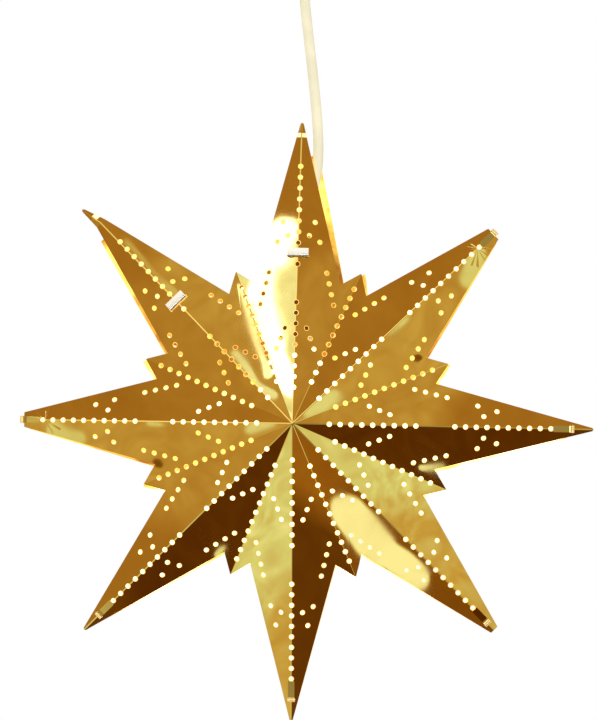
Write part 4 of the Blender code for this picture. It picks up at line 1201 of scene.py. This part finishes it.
def makeHolder():
    ribTree = makeRibTree()
    bore, low, grip, wide = (holder[k] for k in ("bore", "strapTop", "gripRadius", "gripWide"))
    high, nippleTop, chamfer = low + holder["gripHeight"], low + holder["nippleRise"], holder["gripChamfer"]
    inside = nippleTop + holder["clearance"]
    profile = [(grip, low), (grip, high - chamfer), (grip - chamfer, high), (bore, high), (bore, inside),
               (wide, inside), (wide, low)]
    nut = turnedPiece("grip_nut_moulding", "grip_nut", "star", "black", profile, starCentre)

    radius, wall, crown, nipple = (holder[k] for k in ("radius", "capWall", "crownRadius", "nipple"))
    top, bottom, shoulder = holder["capTop"], holder["capBottom"], holder["capTop"] - holder["crown"]
    profile = [(bore, nippleTop), (nipple, nippleTop), (nipple, top), (crown, top), (radius, shoulder),
               (radius, bottom), (radius - wall, bottom), (radius - wall, shoulder),
               (crown - wall / 2, top - wall), (bore, top - wall)]
    turnedPiece("holder_cap_moulding", "holder_cap", "star", "black", profile, starCentre, holder["capSoft"])

    inner, ledgeTop = radius - holder["bodyWall"], holder["ledgeTop"]
    ledge, ledgeLow = inner - holder["ledge"], ledgeTop - holder["ledgeThickness"]
    top, bottom = holder["bodyTop"], holder["bodyBottom"]
    profile = [(radius, top), (radius, bottom), (inner, bottom), (inner, ledgeLow), (ledge, ledgeLow),
               (ledge, ledgeTop), (inner, ledgeTop), (inner, top)]
    body = turned("holder_body_moulding", rounded(profile, holder["bodySoft"]), finish["black"], starCentre)
    for piece, wide, start, end, (count, fromBottom, fromTop) in (
        (nut, grip, low, high, holder["gripRibs"]),
        (body, radius, bottom, top, holder["bodyRibs"]),
    ):
        growWith(piece, ribTree, {
            "Count": count, "Radius": wide, "Bottom": start + fromBottom, "Top": end - fromTop,
            "Rib radius": holder["rib"], "Centre": tuple(starCentre), "Material": finish["black"],
        })
        settle(piece)
    dressed(body, "star", slots["black"], "holder_body")


bulb = {  # heights from its contact, downwards
    "drop": 0.0778, "baseTop": 0.0042, "baseLength": 0.0198, "core": 0.0064, "threadDepth": 0.0005,
    "wall": 0.0010, "baseSoft": 0.0003, "pitch": 0.00282, "collarTop": 0.0090, "collar": 0.0115,
    "collarHeight": 0.0088, "collarBore": 0.0045, "collarChamfer": 0.0012, "collarSoft": 0.0008,
    "gap": 0.0003, "globe": 0.0225, "length": 0.078, "neck": 0.0105, "glass": 0.0009, "globeSteps": 36,
    "globeEnd": -88,  # degrees
}


def makeThreadTree():
    tree, given, out = geometryTree(
        "rolled thread",
        ("Float", ("Turns", "Radius", "Height", "Depth")),
        ("Vector", ("Place",)),
        ("Material", ("Material",)),
    )
    line = {"Resolution": 40, "Rotations": given["Turns"], "Start Radius": given["Radius"],
            "End Radius": given["Radius"], "Height": given["Height"]}
    line, profile = node(tree, "GeometryNodeCurveSpiral", line), circle(tree, 8, given["Depth"])
    ridge = {"Curve": line, "Profile Curve": profile, "Fill Caps": True}
    ridge = transform(node(tree, "GeometryNodeCurveToMesh", ridge), Translation=given["Place"])
    ridge = node(tree, "GeometryNodeSetShadeSmooth", {0: ridge})
    dress(gather(given["Geometry"], ridge), given, out)
    return tree


def makeBulb():
    axis = starCentre + Vector((0, 0, bulb["drop"]))
    core, pitch = bulb["core"], bulb["pitch"]
    top, bottom = -bulb["baseTop"], -bulb["baseTop"] - bulb["baseLength"]
    inner = core + bulb["threadDepth"] - bulb["wall"]
    profile = [(inner, bottom), (inner, top), (core, top), (core, bottom)]
    base = turned("bulb_base_shell", rounded(profile, bulb["baseSoft"]), finish["steel"], axis)
    turns = math.floor((bulb["baseLength"] - 2 * pitch) / pitch)
    growWith(base, makeThreadTree(), {
        "Turns": float(turns), "Radius": core, "Height": turns * pitch, "Depth": bulb["threadDepth"],
        "Place": tuple(axis + Vector((0, 0, bottom + pitch))), "Material": finish["steel"],
    })
    dressed(settle(base), "bulb", slots["steel"], "bulb_base")

    top = bottom - bulb["gap"]
    bottom = top - bulb["collarHeight"]
    bore, collar = bulb["collarBore"], bulb["collar"]
    profile = [(bore, top), (bulb["collarTop"], top), (collar, bottom + bulb["collarChamfer"]),
               (collar, bottom), (bore, bottom)]
    turnedPiece("bulb_collar_moulding", "bulb_collar", "bulb", "enamel", profile, axis, bulb["collarSoft"])

    rim = bottom - bulb["gap"]
    middle, outer, inner = -bulb["length"] + bulb["globe"], bulb["globe"], bulb["globe"] - bulb["glass"]
    necks = bulb["neck"], bulb["neck"] - bulb["glass"]
    start, throat = (math.degrees(math.acos(neck / ball)) for neck, ball in zip(necks, (outer, inner)))
    end, steps = bulb["globeEnd"], bulb["globeSteps"]
    profile = [(necks[0], rim), *bow(0, middle, outer, outer, start, end, steps), (0, middle - outer),
               (0, middle - inner), *bow(0, middle, inner, inner, end, throat, steps), (necks[1], rim)]
    dressed(turned("bulb_globe_glass", profile, finish["opal"], axis), "bulb", "opal_glass", "bulb_globe")


makeCord(makeBoot())
makeFitting()
makeScrews()
makeHolder()
makeBulb()

keptNodes = {
    "steel": ("ceiling_plate", "swivel_nut", "connector_screw_1", "connector_screw_2", "bulb_tip"),
    "contact": ("thread_sleeve", "centre_contact"),
    "enamel": ("holder_insert", "led_board"),
    "ivory": ("connector_block",),
    "black": ("bulb_insulator",),
    "brown": ("upper_wire_1", "upper_wire_2", "holder_wire_1", "holder_wire_2"),
    "board": ("led_driver",),
    "phosphor": tuple(f"led_chip_{k}" for k in range(1, 7)),
}
for look, names in keptNodes.items():
    for name in names:
        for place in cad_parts[name].material_slots:
            place.material = finish[look]
print("fitting, lampholder and bulb made")


# Studio


room = {
    "levels": (  # how bright what a point's two sides mirror is, clockwise from the top: inner, outer, border
        ((0.96, 0.42, 0.114), (0.52, 0.42, 0.100)),
        ((0.43, 0.41, 0.090), (0.60, 0.54, 0.120)),
        ((0.56, 0.42, 0.093), (0.04, 0.05, 0.150)),
        ((0.82, 0.67, 0.076), (0.32, 0.20, 0.050)),
        ((0.36, 0.08, 0.046), (0.84, 0.67, 0.100)),
        ((0.04, 0.08, 0.150), (0.54, 0.42, 0.095)),
        ((0.58, 0.60, 0.100), (0.44, 0.41, 0.080)),
        ((0.50, 0.42, 0.098), (0.57, 0.46, 0.130)),
    ),
    "borderAcross": 0.12,
    "stopGap": 0.00001,  # of a tone's stop past its facet's start
    "streaks": (  # where they show: point, side, from along and across, to those two, half width, level
        (0, -1, 0.112, 0.008, 0.100, 0.011, 0.0100, 1.25),
        (0, -1, 0.100, 0.017, 0.075, 0.021, 0.0085, 1.25),
        (0, -1, 0.075, 0.021, 0.045, 0.0125, 0.0078, 1.25),
        (0, -1, 0.045, 0.012, 0.018, 0.003, 0.0055, 1.25),
        (7, 1, 0.080, 0.033, 0.030, 0.012, 0.0030, 1.05),
        (7, 1, 0.100, 0.002, 0.150, 0.002, 0.0028, 0.72),
        (7, 1, 0.018, 0.002, 0.055, 0.003, 0.0030, 0.95),
        (3, 1, 0.060, 0.012, 0.084, 0.015, 0.0120, 1.00),
        (3, 1, 0.084, 0.014, 0.110, 0.011, 0.0085, 1.00),
        (3, 1, 0.058, 0.018, 0.080, 0.021, 0.0050, 1.00),
        (2, 1, 0.074, 0.0235, 0.086, 0.0225, 0.0022, 0.97),
        (5, -1, 0.074, 0.0235, 0.086, 0.0225, 0.0022, 0.95),
        (1, 1, 0.077, 0.0008, 0.090, 0.0008, 0.0024, 0.86),
        (1, 1, 0.013, 0.002, 0.027, 0.0055, 0.0040, 0.88),
        (1, 1, 0.132, 0.008, 0.143, 0.004, 0.0070, 0.86),
        (1, 1, 0.080, 0.024, 0.081, 0.024, 0.0030, 0.15),
        (6, -1, 0.072, 0.0008, 0.084, 0.0008, 0.0022, 0.86),
        (6, -1, 0.012, 0.002, 0.022, 0.0055, 0.0038, 0.88),
        (6, -1, 0.130, 0.008, 0.142, 0.004, 0.0065, 0.86),
        (6, -1, 0.080, 0.024, 0.081, 0.024, 0.0030, 0.15),
    ),
    "streakFade": 0.1,
    "flats": (  # the same for what lies flat on a ridge: point, half width in degrees, tone
        (0, 10.0, (1.6, 1.6, 1.5)),
        (7, 10.0, (1.6, 1.5, 1.4)),
        (3, 6.0, (0.10, 0.035, 0.0)),
    ),
    "brightest": 1.25,
    "tones": (
        (0.0, (0.08, 0.025, 0.0)), (0.35, (0.36, 0.18, 0.03)), (0.5, (0.51, 0.35, 0.12)),
        (0.65, (0.68, 0.59, 0.28)), (0.85, (0.81, 1.1, 1.0)), (1.0, (1.15, 1.5, 1.9)),
        (1.25, (5.0, 5.5, 8.0)),
    ),
    "fade": 0.012,  # share of a sector over which a border fades
    "fold": (33.0, 37.0, 45.0, 48.0),  # degrees off the front that only folds mirror
    "foldLevel": 0.80,
    "frontTone": (0.36, 0.37, 0.29),
    "straight": (6.0, 10.0),  # degrees off the front that only the middle of the star mirrors
    "noseLight": (0.10, 0.14),  # mirrored by a bent nose: from and to which bend
    "noseHalf": 1.5,  # degrees
    "noseLevel": 1.12,
    "aside": (68.0, 76.0),  # from here on it is plain and pale
    "pale": (0.80, 0.792, 0.776),
    "ripple": 0.35,  # degrees
    "rippleNoise": (45.0, 1.0, 0.6),  # scale, detail, distortion
    "swirlNoise": (60.0, 2.0, 4.0),
    "swirlContrast": (0.3, 0.7, -1.0, 1.0),
    "swirlDepth": (0.45, 0.75, 0.015, 0.09),  # from and to which level, and how deep there
    "floorDrop": 2.6,
    "floorReach": 12.0,
    "paper": (0.93, 0.92, 0.90),
    "paperShare": 0.97,  # of its brightness where it is darkest
    "lamps": (  # place, size and power
        ("key light", (-1.2, -1.8, 0.9), 1.2, 14.0),
        ("fill light", (1.6, -1.2, 0.2), 1.2, 7.0),
        ("back light", (0.2, 1.8, 0.8), 1.2, 10.0),
    ),
}


def mirrored(index, side, along, across, bend=0.0):  # where the camera looks by way of the front shell
    place = pointFrame(index)
    spot = place @ Vector((side * across, -outerHeight(along, across), along))
    out = (place.to_3x3() @ Vector((side * acrossSlope, -1, ridgeSlope + bend))).normalized()
    sight = (spot - scene.camera.matrix_world.translation).normalized()
    return sight - 2 * sight.dot(out) * out


def sectorShare(way):  # folded over at each half of a point
    turn = math.atan2(way.z, way.x) / sector % 2
    return min(turn, 2 - turn)


def radiansOf(degrees):
    return [math.radians(d) for d in degrees]


def between(source, start, full, last, end):
    return stretch(source, start, full) * stretch(source, last, end, 1.0, 0.0)


def streak(way, ends, half):  # a bar between two directions
    first, run = tuple(ends[0]), ends[1] - ends[0]
    share = reckon("ADD", dot(way - first, tuple(run / run.length_squared)), 0.0, clamp=True)
    spot = steer("MULTIPLY_ADD", tuple(run), share, first)
    near = steer("DISTANCE", way, spot, give="Value")
    return stretch(near, half * (1 - room["streakFade"]), half * (1 + room["streakFade"]), 1.0, 0.0)


def facetLevels(x, z):  # how bright the room is that the facets mirror
    angle = reckon("ARCTAN2", z, x)
    turn = reckon("FRACT", angle / (2 * math.pi) + 1.0)
    cells = {}
    for index, sides in enumerate(room["levels"]):
        for side, (inner, outer, border) in zip((-1, 1), sides):
            edge = mirrored(index, side, border, border * room["borderAcross"])
            cell = int(math.atan2(edge.z, edge.x) % (2 * math.pi) / sector)
            cells[cell] = (inner, outer, sectorShare(edge))
    stops = [(cell / len(cells) + room["stopGap"], cells[cell]) for cell in sorted(cells)]
    cell = put(x.tree, "ShaderNodeSeparateColor", {0: rampOf(turn, stops, "CONSTANT")})
    inner, outer, border = (Flow(x.tree, socket) for socket in cell.outputs)
    past = reckon("PINGPONG", angle, sector) / sector - border
    return mix(stretch(past, -room["fade"], room["fade"], 1.0, 0.0), inner, outer)


def makeWorld():
    world = bpy.data.worlds.new("pale room")
    scene.world = world
    world.use_nodes = True
    tree = world.node_tree
    tree.nodes.clear()
    way = node(tree, "ShaderNodeTexCoord", give="Generated")
    stirred = steer("SUBTRACT", noise(way, *room["rippleNoise"], give="Color"), (0.5, 0.5, 0.5))
    bentWay = way + stirred * math.radians(room["ripple"])
    x, y, z = split(bentWay)
    level = facetLevels(x, z)
    swirl = stretch(noise(way, *room["swirlNoise"]), *room["swirlContrast"])
    level = level + swirl * stretch(level, *room["swirlDepth"])
    off = reckon("ARCCOSINE", reckon("ABSOLUTE", y))
    straight, fold = radiansOf(room["straight"]), radiansOf(room["fold"])
    level = mix(stretch(off, *straight, 1.0, 0.0), level, room["brightest"])
    level = mix(between(off, *fold), level, room["foldLevel"])

    afar = (scene.camera.matrix_world.translation - starCentre).length
    for index, side, along, across, endAlong, endAcross, half, bright in room["streaks"]:
        ends = mirrored(index, side, along, across), mirrored(index, side, endAlong, endAcross)
        level = mix(streak(bentWay, ends, half / afar), level, bright)
    for index in assembly["strapPoints"].values():
        for side in (-1, 1):
            start = folds["nose"]["Nose start"]
            ends = [mirrored(index, side, start, 0.0, bend) for bend in room["noseLight"]]
            level = mix(streak(bentWay, ends, math.radians(room["noseHalf"])), level, room["noseLevel"])
    stops = [(place / room["brightest"], tone) for place, tone in room["tones"]]
    tones = rampOf(level / room["brightest"], stops)
    tones = mixTone(between(off, *straight, *fold[:2]), tones, room["frontTone"])
    for index, half, tone in room["flats"]:
        ends = [mirrored(index, 0, along, 0.0) for along in (tongueRadius, assembly["strapLevel"])]
        tones = mixTone(streak(bentWay, ends, math.radians(half)), tones, tone)
    tones = mixTone(stretch(off, *radiansOf(room["aside"])), tones, room["pale"])
    path = flowsOf(tree, put(tree, "ShaderNodeLightPath"))
    seen = reckon("ADD", path["Is Camera Ray"], path["Is Transmission Ray"], clamp=True)
    tones = mixTone(seen, mixTone(path["Is Glossy Ray"], room["pale"], tones), (1.0, 1.0, 1.0))
    lead(node(tree, "ShaderNodeBackground", {0: tones, 1: 1.0}), put(tree, "ShaderNodeOutputWorld").inputs[0])


def makeLamp(name, place, size, power):
    lamp = bpy.data.lights.new(name, "AREA")
    lamp.shape, lamp.size, lamp.energy = "DISK", size, power
    made = bpy.data.objects.new(name, lamp)
    scene.collection.objects.link(made)
    aim = (Vector(place) - starCentre).to_track_quat("Z", "Y").to_matrix().to_4x4()
    made.matrix_world = Matrix.Translation(place) @ aim
    made.visible_glossy = made.visible_camera = False


def makeFloor():
    made, tree, surface = startFinish("pale floor", {"Roughness": 0.9})
    marks = useGroup(tree, surfaceGroup, {"Smudge scale": 2.0})
    low = tuple(c * room["paperShare"] for c in room["paper"])
    lead(rampOf(marks["Smudges"], ((0.3, low), (0.7, room["paper"]))), surface["Base Color"])
    glossy = node(tree, "ShaderNodeLightPath", give="Is Glossy Ray")
    paper = Flow(tree, tree.nodes["Principled BSDF"].outputs[0])
    both = {0: glossy, 1: paper, 2: node(tree, "ShaderNodeBsdfTransparent")}
    lead(node(tree, "ShaderNodeMixShader", both), tree.nodes["Material Output"].inputs[0])
    bm = bmesh.new()
    reach, drop = room["floorReach"], room["floorDrop"]
    corners = ((-1, -1), (1, -1), (1, 1), (-1, 1))
    bm.faces.new([bm.verts.new((x * reach, y * reach, -drop)) for x, y in corners])
    newPiece("floor", bm, made, smooth=0)


makeWorld()
for lamp in room["lamps"]:
    makeLamp(*lamp)
makeFloor()
scene.view_settings.view_transform = "Standard"
print("studio lit")
